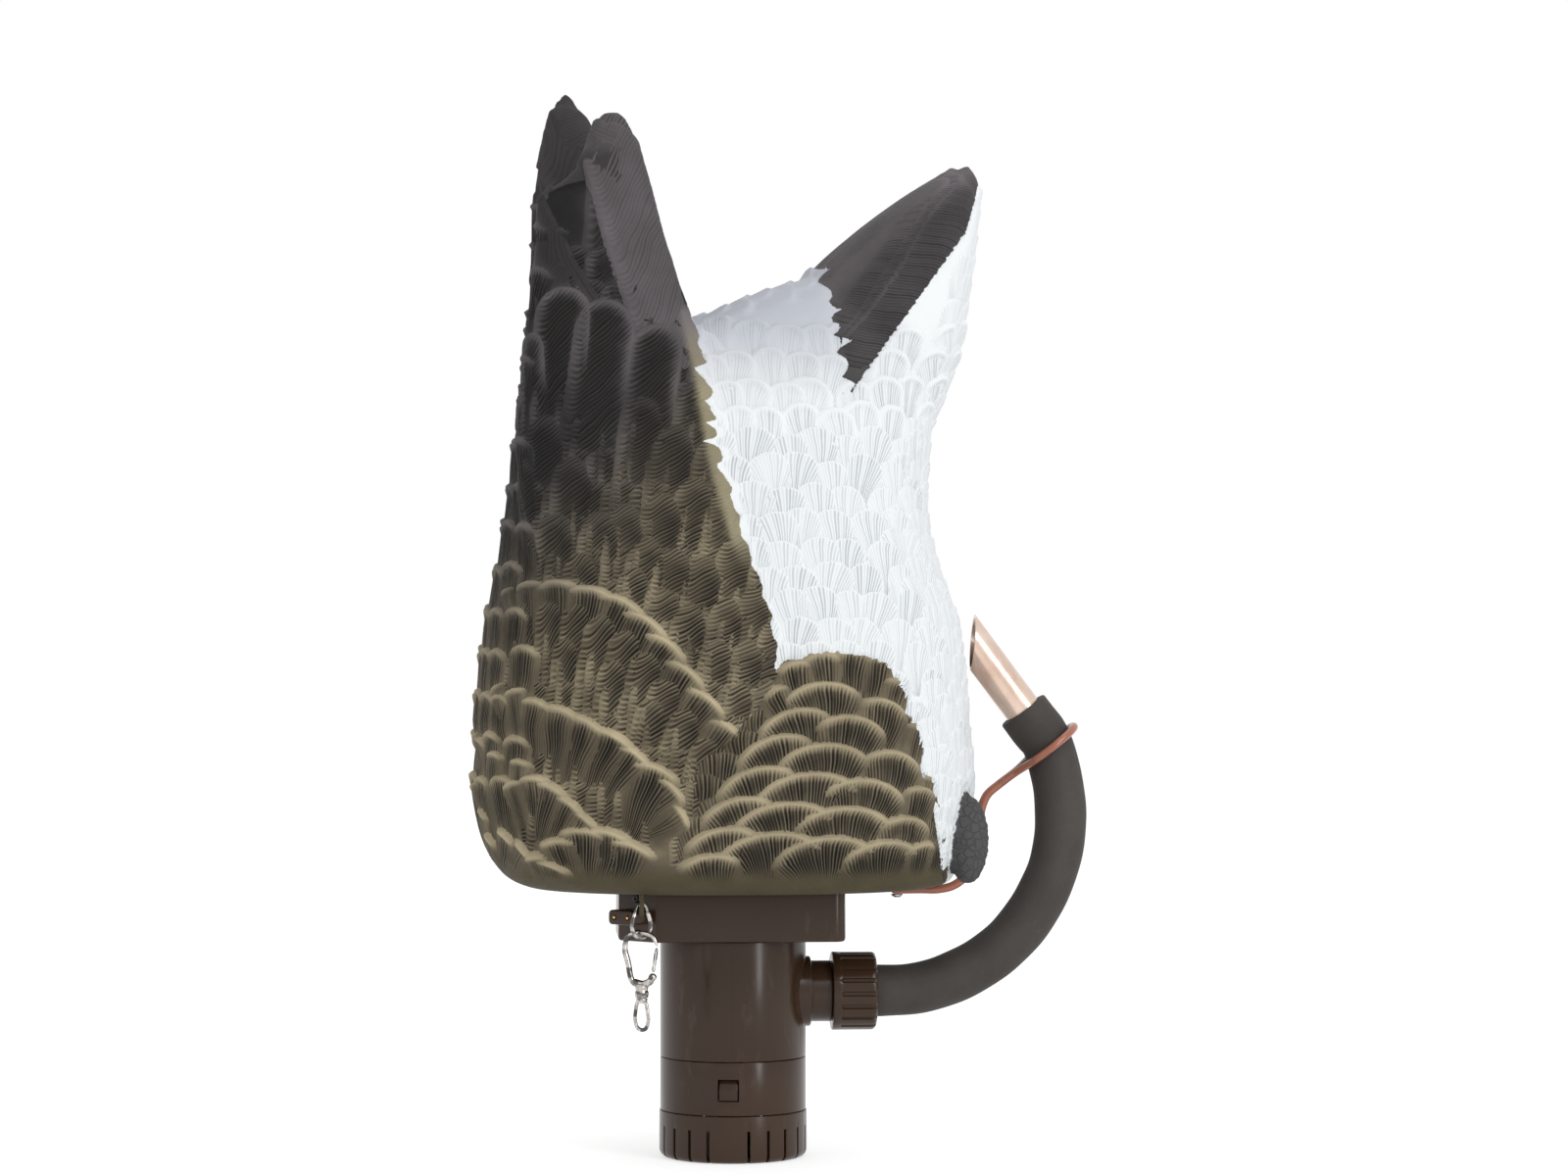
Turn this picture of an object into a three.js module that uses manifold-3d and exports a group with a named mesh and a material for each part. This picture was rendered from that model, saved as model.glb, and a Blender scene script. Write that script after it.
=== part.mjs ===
// Feeding goose decoy: the moulded rear half of a goose, tail up, over a submersible pump.
//
// Millimetres, +Z up. The origin is the centre of the flat underside of the strainer,
// on which everything stands. -X is the bird's back with the folded wings, +X its belly,
// where the hose rises. The bird is symmetrical about Y = 0 but for its wing tips.

import * as THREE from 'three';
import { mergeVertices } from 'three/addons/utils/BufferGeometryUtils.js';
import Module from 'manifold-3d';

const wasm = await Module();
wasm.setup();

// Driving dimensions

const fitGap = 0.3;
const weld = 0.01;

const strainerRadius = 41;
const strainerHeight = 26;
const strainerWall = 2.6;
const strainerFloor = 3;
const strainerFillet = 4.5;
const slotWidth = 1.8;
const slotHeight = 18;
const slotPitch = 16;

const canRadius = 40.5;
const ringHeight = 29.3;
const ringWall = 4;
const latchWidth = 11.5;
const latchSillHeight = 8;
const latchOpening = 12;
const latchBearing = -97;
const canHeight = 65.5;

const housingLength = 121;
const housingDepth = 92;
const housingHeight = 28;
const housingShift = 1;
const housingCorner = 7;
const housingChamfer = 20;
const housingFloorRound = 2;

const plugWidth = 18.5;
const plugHeight = 8;
const plugReach = 13;
const plugCorner = 2.4;
const pinRadius = 0.9;
const pinSpacing = 9.8;
const pinReach = 1.2;
const panelScrewRadius = 2.6;
const panelScrewHeight = 1.2;
const panelScrewSpacing = 20;

const outletHeight = 35.3;
const stubRadius = 17;
const stubReach = 54.4;
const stubCollarRadius = 19.5;
const stubCollarReach = 43;
const hoseRadius = 14.3;
const hoseBore = 10.75;
const hoseStraight = 28;
const hoseOverlap = 4;
const spigotLength = 30;
const spigotBore = 7.5;
const nutRadius = 21.8;
const nutLength = 24.7;
const nutFlange = 4.6;
const nutGrooves = 18;
const nutGrooveDepth = 1.4;
const nutBevel = 2.6;

const nozzleWall = 1.2;
const nozzleInsert = 18;
const nozzleLean = 36.7;
const nozzleBevelLean = 4.7;
const nozzleShortSide = 35.3;

const wireRadius = 2.2;
const screwHeadRadius = 3.3;
const screwHeadHeight = 2.2;
const screwShankRadius = 1.5;
const screwShankLength = 12;

const lugWidth = 2.4;
const lugDepth = 9;
const lugDrop = 9.4;
const lugHole = 3.4;
const linkWire = 1.05;
const linkHeight = 19;
const linkHalfWidth = 6;
const linkTurn = 32;
const hookWire = 1.3;
const hookHeight = 28.5;
const hookHalfWidth = 10.2;
const hookTurn = -30;
const barrelRadius = 3.8;
const barrelHeight = 7.2;
const gateRadius = 1;
const gateBall = 2.1;
const eyeWire = 1.05;
const eyeHeight = 15.5;
const eyeHalfWidth = 5.2;
const eyePinRadius = 1.2;
const eyePinLength = 4.5;
const eyeTurn = -20;

const decoyHeight = 444;

// The bird's form was measured at this height, over a bottom this high and out to this belly,
// and follows decoyHeight in proportion.
const measuredHeight = 444;
const measuredBottom = 150;
const measuredBelly = 134.5;
const birdScale = decoyHeight / measuredHeight;

// Heights of the stack, from the ground up

const ringBottom = strainerHeight + fitGap;
const canBottom = ringBottom + ringHeight + fitGap;
const canTop = canBottom + canHeight;
const housingBottom = canTop + fitGap;
const housingTop = housingBottom + housingHeight;
const birdBottom = housingTop + fitGap;
const outletZ = canBottom + outletHeight;

// A point measured beside the bird, as X and height, which stays beside it at any size.
function besideBird(x, z) {
  const up = Math.max(0, z - measuredBottom);
  const lifted = up > 0 ? birdBottom - measuredBottom : 0;
  return [x + Math.min(x, measuredBelly) * (birdScale - 1), z + lifted + up * (birdScale - 1)];
}

// Small tools

const turn = THREE.MathUtils.degToRad;
const clamp01 = (t) => Math.min(1, Math.max(0, t));
const ease = (t, a, b) => {
  const s = clamp01((t - a) / (b - a));
  return s * s * (3 - 2 * s);
};

// A smooth curve through a few stations, each a row that starts with its own parameter.
function through(stations, t) {
  const last = stations.length - 1;
  let i = 0;
  while (i < last - 1 && t > stations[i + 1][0]) i += 1;
  const row = (k) => stations[Math.min(last, Math.max(0, k))];
  const [p, q, r, s] = [row(i - 1), row(i), row(i + 1), row(i + 2)];
  const span = r[0] - q[0];
  const u = clamp01((t - q[0]) / span);
  return q.slice(1).map((_, k) => {
    const c = k + 1;
    const slopeIn = i === 0 ? (r[c] - q[c]) / span : (r[c] - p[c]) / (r[0] - p[0]);
    const slopeOut = i === last - 1 ? (r[c] - q[c]) / span : (s[c] - q[c]) / (s[0] - q[0]);
    const u2 = u * u;
    const u3 = u2 * u;
    return (2 * u3 - 3 * u2 + 1) * q[c] + (u3 - 2 * u2 + u) * span * slopeIn
      + (3 * u2 - 2 * u3) * r[c] + (u3 - u2) * span * slopeOut;
  });
}

function solid(geometry) {
  const plain = geometry.index ? geometry.toNonIndexed() : geometry.clone();
  for (const name of ['normal', 'uv']) plain.deleteAttribute(name);
  const merged = mergeVertices(plain, 1e-4);
  return new wasm.Manifold(new wasm.Mesh({
    numProp: 3,
    vertProperties: new Float32Array(merged.attributes.position.array),
    triVerts: new Uint32Array(merged.index.array),
  }));
}

// A join or cut leaves slivers, and those thinner than the weld are taken out.
function geometryOf(shape) {
  const mesh = shape.simplify(weld).getMesh();
  const geometry = new THREE.BufferGeometry();
  geometry.setAttribute('position', new THREE.BufferAttribute(new Float32Array(mesh.vertProperties), 3));
  geometry.setIndex(new THREE.BufferAttribute(new Uint32Array(mesh.triVerts), 1));
  return geometry;
}

// A closed skin over rings of points, each ring counter-clockwise seen from its far end.
function loft(rings) {
  const count = rings[0].length;
  const points = rings.flat();
  const index = [];
  for (let r = 0; r < rings.length - 1; r += 1) {
    for (let k = 0; k < count; k += 1) {
      const a = r * count + k;
      const b = r * count + ((k + 1) % count);
      index.push(a, b, b + count, a, b + count, a + count);
    }
  }
  for (const end of [0, rings.length - 1]) {
    const middle = new THREE.Vector3();
    for (const p of rings[end]) middle.addScaledVector(p, 1 / count);
    points.push(middle);
    const hub = points.length - 1;
    for (let k = 0; k < count; k += 1) {
      const a = end * count + k;
      const b = end * count + ((k + 1) % count);
      if (end === 0) index.push(hub, b, a);
      else index.push(hub, a, b);
    }
  }
  const geometry = new THREE.BufferGeometry().setFromPoints(points);
  geometry.setIndex(index);
  return geometry;
}

function circle(radius, sides) {
  return Array.from({ length: sides }, (_, k) => {
    const angle = (2 * Math.PI * k) / sides;
    return new THREE.Vector2(radius * Math.cos(angle), radius * Math.sin(angle));
  });
}

// A round wire or pipe along a curve. A bore's facets lie outside its true circle.
function pipe(curve, radius, steps, sides, bore = 0, boreSides = sides) {
  const section = new THREE.Shape(circle(radius, sides));
  const boreCorner = bore / Math.cos(Math.PI / boreSides);
  if (bore) section.holes.push(new THREE.Path(circle(boreCorner, boreSides).reverse()));
  return new THREE.ExtrudeGeometry(section, { steps, extrudePath: curve, bevelEnabled: false });
}

function cylinder(radius, height, sides, bottom = 0) {
  return new THREE.CylinderGeometry(radius, radius, height, sides)
    .rotateX(Math.PI / 2).translate(0, 0, bottom + height / 2);
}

function lathe(profile, sides) {
  const points = profile.map(([r, z]) => new THREE.Vector2(r, z));
  return new THREE.LatheGeometry(points, sides).rotateX(Math.PI / 2);
}

const colours = {
  paint: new THREE.MeshStandardMaterial({ color: 0x8a8474, roughness: 0.75, metalness: 0 }),
  plastic: new THREE.MeshStandardMaterial({ color: 0x3e322a, roughness: 0.35, metalness: 0 }),
  rubber: new THREE.MeshStandardMaterial({ color: 0x3e3a38, roughness: 0.8, metalness: 0 }),
  copper: new THREE.MeshStandardMaterial({ color: 0xe8cdbb, roughness: 0.2, metalness: 1 }),
  wire: new THREE.MeshStandardMaterial({ color: 0x7c4a36, roughness: 0.35, metalness: 0 }),
  chrome: new THREE.MeshStandardMaterial({ color: 0xc9c7c3, roughness: 0.15, metalness: 1 }),
  brass: new THREE.MeshStandardMaterial({ color: 0xc99a4b, roughness: 0.3, metalness: 1 }),
  steel: new THREE.MeshStandardMaterial({ color: 0x1d1c1c, roughness: 0.4, metalness: 1 }),
};

const decoy = new THREE.Group();

function add(name, geometry, material, parent = decoy) {
  const mesh = new THREE.Mesh(geometry, material);
  mesh.name = name;
  parent.add(mesh);
  return mesh;
}

// The bird. Heights are above its flat bottom, before birdScale.

// Height, back edge in X, belly edge in X, half depth in Y.
const trunkStations = [
  [0, -112, 112, 86],
  [3, -121, 120, 94],
  [10, -131, 125, 101],
  [22, -139, 130, 106],
  [40, -143.5, 133, 109],
  [62, -145, 134.5, 110],
  [90, -140, 132, 109],
  [122, -136, 129.5, 106],
  [150, -133, 125, 102],
  [180, -129, 114.5, 97],
  [200, -127, 110, 93],
  [220, -125, 108.5, 88],
  [240, -124, 110, 83],
  [261, -120, 112, 77],
  [280, -110, 116, 70],
  [298, -86, 119.5, 62],
  [312, -34, 121, 53],
  [324, -6, 122, 44],
  [334, 22, 122, 33],
  [339, 44, 120, 20],
];
const trunkTop = 339;
const trunkPower = 2 / 2.3;

// The wing's free edge on the bird's side, as X at a height, and how proud it stands.
const wingEdgeStations = [
  [70, -26], [86, -6], [112, 15], [165, 16], [196, 6], [233, -7], [278, -12], [313, -26],
];
const wingStep = 5;
const wingBottom = 76;

// Rows of feathers round the trunk, each a step that rises to its rounded tips.
const featherCount = 14;
const pointsPerFeather = 6;
const featherRows = 8;
const rowStart = 12;
const rowPitch = 33;
const tipRise = 13;
const featherStep = 3.4;
const tipThickness = 1.6;

function trunkSection(angle, height, raise) {
  const [back, belly, depth] = through(trunkStations, height);
  const [edge] = through(wingEdgeStations, Math.max(height, wingEdgeStations[0][0]));
  const centre = (back + belly) / 2;
  const length = (belly - back) / 2;
  const c = Math.cos(angle);
  const s = Math.sin(angle);
  const x = centre + length * Math.sign(c) * Math.abs(c) ** trunkPower;
  const y = depth * Math.sign(s) * Math.abs(s) ** trunkPower;
  const onWing = (1 - ease(x, edge - 3, edge + 3)) * ease(height, wingBottom, wingBottom + 16);
  const groove = 15 * Math.exp(-((y / 20) ** 2)) * ease(height, 130, 270) * (x < centre ? 1 : 0);
  const nx = (x - centre) / (length * length);
  const ny = y / (depth * depth);
  const size = Math.hypot(nx, ny) || 1;
  const long = onWing * ease(height, 140, 175);
  const lift = (raise - featherStep / 2) * (1 - 0.75 * long);
  const out = lift + wingStep * onWing - groove + long * quill(angle);
  return new THREE.Vector3(x + (out * nx) / size, y + (out * ny) / size, height);
}

// Long flight feathers run up the wing, each lapped over the next towards the back.
function quill(angle) {
  const lane = (angle * 18) / (2 * Math.PI);
  const across = lane - Math.floor(lane);
  const lap = angle > Math.PI ? 1 - across : across;
  return 2.6 * (lap - 0.5);
}

function trunk() {
  const count = featherCount * pointsPerFeather;
  const rings = [];
  const ring = (heightAt, raise) => {
    rings.push(Array.from({ length: count }, (_, k) => {
      const angle = (2 * Math.PI * k) / count;
      return trunkSection(angle, heightAt(k), raise);
    }));
  };
  const tips = (row) => (k) => {
    const phase = (row % 2) * (pointsPerFeather / 2);
    const across = ((k + phase) % pointsPerFeather) / pointsPerFeather - 0.5;
    return rowStart + row * rowPitch + tipRise * (4 * across * across - 0.5) * -1;
  };
  ring(() => 0, 0);
  ring(() => 3, 0);
  for (let row = 0; row < featherRows; row += 1) {
    const low = tips(row);
    const high = tips(row + 1);
    ring(low, 0);
    ring((k) => high(k) - tipThickness, featherStep);
  }
  ring(tips(featherRows), 0);
  for (const height of [297, 312, 324, 334, trunkTop]) ring(() => height, 0);
  return loft(rings);
}

// A wing's free end. Height, back edge, front edge, distance from the middle, half thickness.
const farWingStations = [
  [110, -108, -22, 50, 20],
  [190, -116, -16, 54, 23],
  [240, -119, -14, 55, 24],
  [280, -116, -14, 53, 24],
  [313, -113, -28, 50, 21],
  [353, -110, -44, 46, 17],
  [385, -109, -58, 41, 13],
  [412, -105, -73, 37, 9],
  [432, -100, -83, 34, 5.5],
  [444, -95, -90, 32, 2],
];
const nearWingStations = [
  [110, -108, -22, 50, 20],
  [190, -116, -16, 54, 23],
  [240, -119, -12, 55, 24],
  [280, -116, -12, 53, 24],
  [313, -113, -26, 50, 21],
  [353, -108, -40.5, 46, 17],
  [377, -106, -46, 42, 13.5],
  [388, -92, -48, 40, 11.5],
  [398, -82, -49.5, 38, 9.5],
  [412, -77, -52, 35, 7],
  [420, -73.5, -55.5, 34, 4.5],
  [425, -70, -59, 33, 2],
];
const wingSides = 20;
const wingRings = 12;
const wingFlute = 1.3;

function wing(stations, side) {
  const bottom = stations[0][0];
  const top = stations[stations.length - 1][0];
  const rings = [];
  for (let r = 0; r <= wingRings; r += 1) {
    const height = bottom + (top - bottom) * Math.sin((Math.PI / 2) * (r / wingRings));
    const [back, front, distance, half] = through(stations, height);
    const fade = 1 - ease(height, top - 30, top);
    rings.push(Array.from({ length: wingSides }, (_, k) => {
      const angle = (2 * Math.PI * k) / wingSides;
      const c = Math.cos(angle);
      const s = Math.sin(angle);
      const flute = wingFlute * fade * (k % 2 ? 1 : -1) * Math.abs(s);
      const x = (back + front) / 2 + ((front - back) / 2) * c;
      const y = side * distance + (half + flute) * Math.sign(s) * Math.abs(s) ** 0.8;
      return new THREE.Vector3(x, y, height);
    }));
  }
  return loft(rings);
}

// The tail with the white coverts under it. Share of its length, the upper edge's X and height,
// the lower edge's X and height, half width in Y, and the angle from the top at which the dark
// feathers end.
const tailStations = [
  [0, 26, 318, 98, 236, 42, 95],
  [0.15, 44, 338, 110, 262, 50, 100],
  [0.4, 70, 356, 118.5, 296, 50, 112],
  [0.65, 95, 373.5, 125, 328, 47, 124],
  [0.87, 119, 391, 130.5, 358, 40, 138],
  [1, 132.5, 401.5, 138, 389, 30, 150],
];
const tailSides = 28;
const tailRings = 7;
const tailStep = 2.6;
const tailRoundFrom = 0.7;
const tailRoundOver = 0.33;

function tail() {
  const rings = [];
  for (let r = 0; r <= tailRings; r += 1) {
    const [ux, uz, lx, lz, fullHalf, end] = through(tailStations, r / tailRings);
    const over = Math.max(0, r / tailRings - tailRoundFrom) / tailRoundOver;
    const half = fullHalf * Math.sqrt(1 - over * over);
    const rise = ease(r / tailRings, 0.08, 0.16);
    rings.push(Array.from({ length: tailSides }, (_, k) => {
      const angle = (2 * Math.PI * k) / tailSides;
      const fromTop = Math.min(angle, 2 * Math.PI - angle);
      const dark = 1 - ease(fromTop, turn(end) - 0.12, turn(end) + 0.12);
      const out = 1 + (rise * dark * (tailStep + (k % 2 ? 0.7 : -0.7))) / Math.max(half, 12);
      const c = Math.cos(angle) * out;
      const s = Math.sin(angle) * out;
      const x = (ux + lx) / 2 + ((ux - lx) / 2) * c;
      const z = (uz + lz) / 2 + ((uz - lz) / 2) * c;
      return new THREE.Vector3(x, -half * s, z);
    }));
  }
  return loft(rings);
}

const footCentre = [126, 45, 27.5];
const footRadii = [11.5, 13, 24.5];

function foot(side) {
  return new THREE.SphereGeometry(1, 12, 8).rotateX(Math.PI / 2)
    .scale(...footRadii).translate(footCentre[0], side * footCentre[1], footCentre[2]);
}

const linkX = -53.5 * birdScale;
const linkY = -76 * birdScale;
const screwX = 91.6 * birdScale;

function bird() {
  let shape = solid(trunk());
  const parts = [wing(farWingStations, 1), wing(nearWingStations, -1), tail(), foot(1), foot(-1)];
  for (const part of parts) shape = shape.add(solid(part));
  shape = solid(geometryOf(shape).scale(birdScale, birdScale, birdScale).translate(0, 0, birdBottom));
  const lug = new THREE.BoxGeometry(lugWidth, lugDepth, lugDrop + 4)
    .translate(linkX, linkY, birdBottom + 2 - lugDrop / 2);
  const eyelet = cylinder(lugHole, lugWidth + 2, 12).translate(0, 0, -lugWidth / 2 - 1)
    .rotateY(Math.PI / 2).translate(linkX, linkY, linkTopZ);
  const screwHole = cylinder(screwShankRadius + fitGap, screwShankLength + 1, 12)
    .translate(screwX, 0, birdBottom - 1);
  return geometryOf(shape.add(solid(lug)).subtract(solid(eyelet)).subtract(solid(screwHole)));
}

const linkTopZ = birdBottom - lugDrop + 2 + lugHole;

// The pump: a motor can with the outlet, a ring with the latch window, and the strainer.

const slotBearings = [];
for (let angle = -71; angle < 280; angle += slotPitch) slotBearings.push(angle - 90);

function radialBox(depth, width, height, radius, bearing, bottom) {
  return new THREE.BoxGeometry(depth, width, height).translate(radius, 0, bottom + height / 2)
    .rotateZ(turn(bearing));
}

function strainer() {
  const inner = strainerRadius - strainerWall;
  const profile = [[0, 0]];
  for (let k = 0; k <= 3; k += 1) {
    const angle = turn(-90 + 30 * k);
    const reach = strainerRadius - strainerFillet;
    profile.push([reach + strainerFillet * Math.cos(angle), strainerFillet * (1 + Math.sin(angle))]);
  }
  profile.push([strainerRadius, strainerHeight], [inner, strainerHeight]);
  profile.push([inner, strainerFloor], [0, strainerFloor]);
  let shape = solid(lathe(profile, 32));
  for (const bearing of slotBearings) {
    const offLatch = Math.min(...[latchBearing, latchBearing + 180].map((latch) => (
      Math.abs(((bearing - latch + 540) % 360) - 180))));
    if (offLatch < slotPitch / 2) continue;
    const depth = strainerWall + strainerFillet;
    shape = shape.subtract(solid(radialBox(depth, slotWidth, slotHeight + 1,
      strainerRadius + 1 - depth / 2, bearing, -1)));
  }
  for (const bearing of [latchBearing, latchBearing + 180]) {
    const tongueRadius = canRadius - ringWall - 3 * fitGap - 1.5;
    const tongue = radialBox(3, latchWidth - 2, strainerHeight - strainerFloor + latchSillHeight + 8,
      tongueRadius, bearing, strainerFloor);
    const catchBlock = radialBox(ringWall + 1.5, latchWidth - 1.5, latchOpening - 4,
      canRadius - ringWall / 2 - 1.5, bearing, ringBottom + latchSillHeight + fitGap);
    shape = shape.add(solid(tongue)).add(solid(catchBlock));
  }
  return geometryOf(shape);
}

function pumpRing() {
  const inner = canRadius - ringWall;
  let shape = solid(lathe([[inner, 0], [canRadius, 0], [canRadius, ringHeight],
    [inner, ringHeight], [inner, 0]], 32).translate(0, 0, ringBottom));
  for (const bearing of [latchBearing, latchBearing + 180]) {
    shape = shape.subtract(solid(radialBox(ringWall + 4, latchWidth, latchOpening,
      canRadius - ringWall / 2, bearing, ringBottom + latchSillHeight)));
  }
  return geometryOf(shape);
}

function along(geometry) {
  return geometry.rotateY(Math.PI / 2).translate(0, 0, outletZ);
}

function motorCan() {
  let shape = solid(cylinder(canRadius, canHeight, 32, canBottom));
  const spigotEnd = stubReach + spigotLength;
  shape = shape.add(solid(along(cylinder(stubRadius, stubReach, 20))));
  shape = shape.add(solid(along(cylinder(stubCollarRadius, stubCollarReach, 20))));
  shape = shape.add(solid(along(cylinder(hoseBore - fitGap, spigotEnd, 14))));
  const bore = along(cylinder(spigotBore, spigotEnd, 12, canRadius / 2));
  return geometryOf(shape.subtract(solid(bore)));
}

function unionNut() {
  const start = stubReach + fitGap;
  const steps = [];
  const sides = nutGrooves * 3;
  const ring = (radius, at, grooved) => steps.push(circle(1, sides).map((p, k) => {
    const inGroove = grooved && k % 3 === 0 ? nutGrooveDepth : 0;
    return new THREE.Vector3(p.x * (radius - inGroove), p.y * (radius - inGroove), at);
  }));
  ring(nutRadius, 0, false);
  ring(nutRadius, nutFlange, false);
  ring(nutRadius, nutFlange + 0.6, true);
  ring(nutRadius, nutLength - nutBevel, true);
  ring(nutRadius - nutBevel, nutLength, false);
  const bore = cylinder(hoseRadius + fitGap, nutLength + 2, 18, -1);
  return along(geometryOf(solid(loft(steps)).subtract(solid(bore))).translate(0, 0, start));
}

// The control housing under the bird, with the charging plug on its cut corner

function housingOutline() {
  const [x0, x1] = [housingShift - housingLength / 2 - 5, housingShift + housingLength / 2 - 5 + 3];
  const y = housingDepth / 2;
  const r = housingCorner;
  const outline = new THREE.Shape();
  outline.moveTo(x0 + housingChamfer, -y);
  outline.lineTo(x1 - r, -y);
  outline.absarc(x1 - r, -y + r, r, -Math.PI / 2, 0, false);
  outline.lineTo(x1, y - r);
  outline.absarc(x1 - r, y - r, r, 0, Math.PI / 2, false);
  outline.lineTo(x0 + housingChamfer, y);
  outline.lineTo(x0, y - housingChamfer);
  outline.lineTo(x0, -y + housingChamfer);
  outline.closePath();
  return outline;
}

function housing() {
  const round = housingFloorRound;
  return new THREE.ExtrudeGeometry(housingOutline(), {
    depth: housingHeight - 2 * round, bevelEnabled: true, bevelThickness: round, bevelSize: round,
    bevelOffset: -round, bevelSegments: 2, curveSegments: 4,
  }).translate(0, 0, housingBottom + round);
}

// The panel's own frame: +X points out of the cut corner, +Z is up.
const panel = new THREE.Group();
panel.position.set(housingShift - housingLength / 2 - 5 + housingChamfer / 2,
  -housingDepth / 2 + housingChamfer / 2, housingBottom + housingHeight / 2);
panel.rotation.z = turn(-135);
decoy.add(panel);

function plug() {
  const [w, h, r] = [plugWidth / 2, plugHeight / 2, plugCorner];
  const outline = new THREE.Shape();
  outline.absarc(w - r, h - r, r, 0, Math.PI / 2, false);
  outline.absarc(-w + r, h - r, r, Math.PI / 2, Math.PI, false);
  outline.absarc(-w + r, -h + r, r, Math.PI, 1.5 * Math.PI, false);
  outline.absarc(w - r, -h + r, r, 1.5 * Math.PI, 2 * Math.PI, false);
  const block = new THREE.ExtrudeGeometry(outline, {
    depth: plugReach, bevelEnabled: false, curveSegments: 3,
  }).rotateX(Math.PI / 2).rotateZ(Math.PI / 2).translate(fitGap, 0, 0);
  let shape = solid(block);
  for (const side of [-1, 1]) {
    const socket = cylinder(pinRadius + fitGap, pinReach + 2, 10).rotateY(Math.PI / 2)
      .translate(fitGap + plugReach - pinReach, side * pinSpacing / 2, 0);
    shape = shape.subtract(solid(socket));
  }
  return geometryOf(shape);
}

add('control_housing', housing(), colours.plastic);
add('charging_plug', plug(), colours.plastic, panel);
for (const [name, side] of [['left', -1], ['right', 1]]) {
  const pin = cylinder(pinRadius, pinReach, 10).rotateY(Math.PI / 2);
  add(`plug_pin_${name}`, pin, colours.brass, panel)
    .position.set(2 * fitGap + plugReach - pinReach, side * pinSpacing / 2, 0);
}
for (const [name, side] of [['upper', 1], ['lower', -1]]) {
  const head = cylinder(panelScrewRadius, panelScrewHeight, 12).rotateY(Math.PI / 2);
  add(`panel_screw_${name}`, head, colours.steel, panel)
    .position.set(fitGap, 0, side * panelScrewSpacing / 2);
}

add('decoy_body', bird(), colours.paint);
add('motor_can', motorCan(), colours.plastic);
add('latch_ring', pumpRing(), colours.plastic);
add('strainer', strainer(), colours.plastic);
add('union_nut', unionNut(), colours.plastic);

// The hose, from inside the nut up to the nozzle, in the bird's middle plane

const hoseRoute = [
  [100.2, 92], [113.8, 95], [126.7, 99.9], [138.8, 106.4], [149.8, 114.4], [159.6, 124.1],
  [168, 135.4], [174.8, 147.8], [179.8, 160.6], [182.7, 174], [183.6, 187.5], [182.8, 201],
  [180.4, 214],
];
const [hoseEndX, hoseEndZ] = besideBird(162.2, 247.6);
const hoseEnd = new THREE.Vector3(hoseEndX, 0, hoseEndZ);
const nozzleWay = new THREE.Vector3(-Math.sin(turn(nozzleLean)), 0, Math.cos(turn(nozzleLean)));
const hoseStart = stubReach + 2 * fitGap;
const hosePoints = [
  ...[0, 0.5, 1].map((share) => new THREE.Vector3(hoseStart + share * hoseStraight, 0, outletZ)),
  ...hoseRoute.map(([x, z]) => besideBird(x, z)).map(([x, z]) => new THREE.Vector3(x, 0, z)),
  hoseEnd.clone().addScaledVector(nozzleWay, -nozzleInsert - hoseOverlap),
  hoseEnd.clone().addScaledVector(nozzleWay, -nozzleInsert / 2),
  hoseEnd,
];
const hoseCurve = new THREE.CatmullRomCurve3(hosePoints, false, 'centripetal');
add('hose', pipe(hoseCurve, hoseRadius, 18, 12, hoseBore, 8), colours.rubber);

// The copper nozzle, cut on the slant, faces the bird. Its own frame has +Z along the tube.

function nozzle() {
  const radius = hoseBore - fitGap;
  const cutLean = turn(nozzleLean + nozzleBevelLean);
  const longSide = nozzleShortSide + (2 * radius) / Math.tan(cutLean);
  const end = longSide + nozzleWall;
  const tube = lathe([[radius - nozzleWall, -nozzleInsert], [radius, -nozzleInsert], [radius, end],
    [radius - nozzleWall, end], [radius - nozzleWall, -nozzleInsert]], 20);
  const knife = new THREE.BoxGeometry(2 * end, 2 * end, 2 * end)
    .translate(-end, 0, end).rotateY(cutLean).translate(-radius, 0, nozzleShortSide);
  return geometryOf(solid(tube).subtract(solid(knife)));
}

const nozzleMesh = add('nozzle', nozzle(), colours.copper);
nozzleMesh.position.copy(hoseEnd);
nozzleMesh.rotation.y = turn(-nozzleLean);

// The coated wire clip: from its screw, out under the rim, round the hose and back

const [loopX, loopZ] = besideBird(176, 226.6);
const loopCentre = new THREE.Vector3(loopX, 0, loopZ);
const loopLean = 38;
const loopLong = 19;
const loopWide = hoseRadius + wireRadius + 1;
const strandY = wireRadius + fitGap / 2;
const strandRoute = [[157, 212], [149, 206], [142.2, 200], [138.9, 192], [138, 182], [136.4, 170],
  [132.4, 157.5]];

function clipCurve() {
  const underZ = birdBottom - fitGap - wireRadius;
  const strand = strandRoute.map(([x, z]) => besideBird(x, z)).map(([x, z]) => [x, strandY, z]);
  const round = screwShankRadius + wireRadius;
  strand.push(
    [124 * birdScale, strandY, underZ + 2.4],
    [115 * birdScale, strandY, underZ],
    [104 * birdScale, strandY + 0.3, underZ],
    [screwX + 4, round + 0.5, underZ],
    [screwX - 4, round + 0.8, underZ],
  );
  const loop = [];
  for (let degrees = -155; degrees <= 155; degrees += 31) {
    const along = loopLong * Math.cos(turn(degrees));
    loop.push(new THREE.Vector3(loopCentre.x + along * Math.cos(turn(loopLean)),
      loopWide * Math.sin(turn(degrees)), loopCentre.z + along * Math.sin(turn(loopLean))));
  }
  const out = strand.map(([x, y, z]) => new THREE.Vector3(x, -y, z)).reverse();
  const back = strand.map(([x, y, z]) => new THREE.Vector3(x, y, z));
  return new THREE.CatmullRomCurve3([...out, ...loop, ...back]);
}

add('wire_clip', pipe(clipCurve(), wireRadius, 52, 6), colours.wire);

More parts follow.
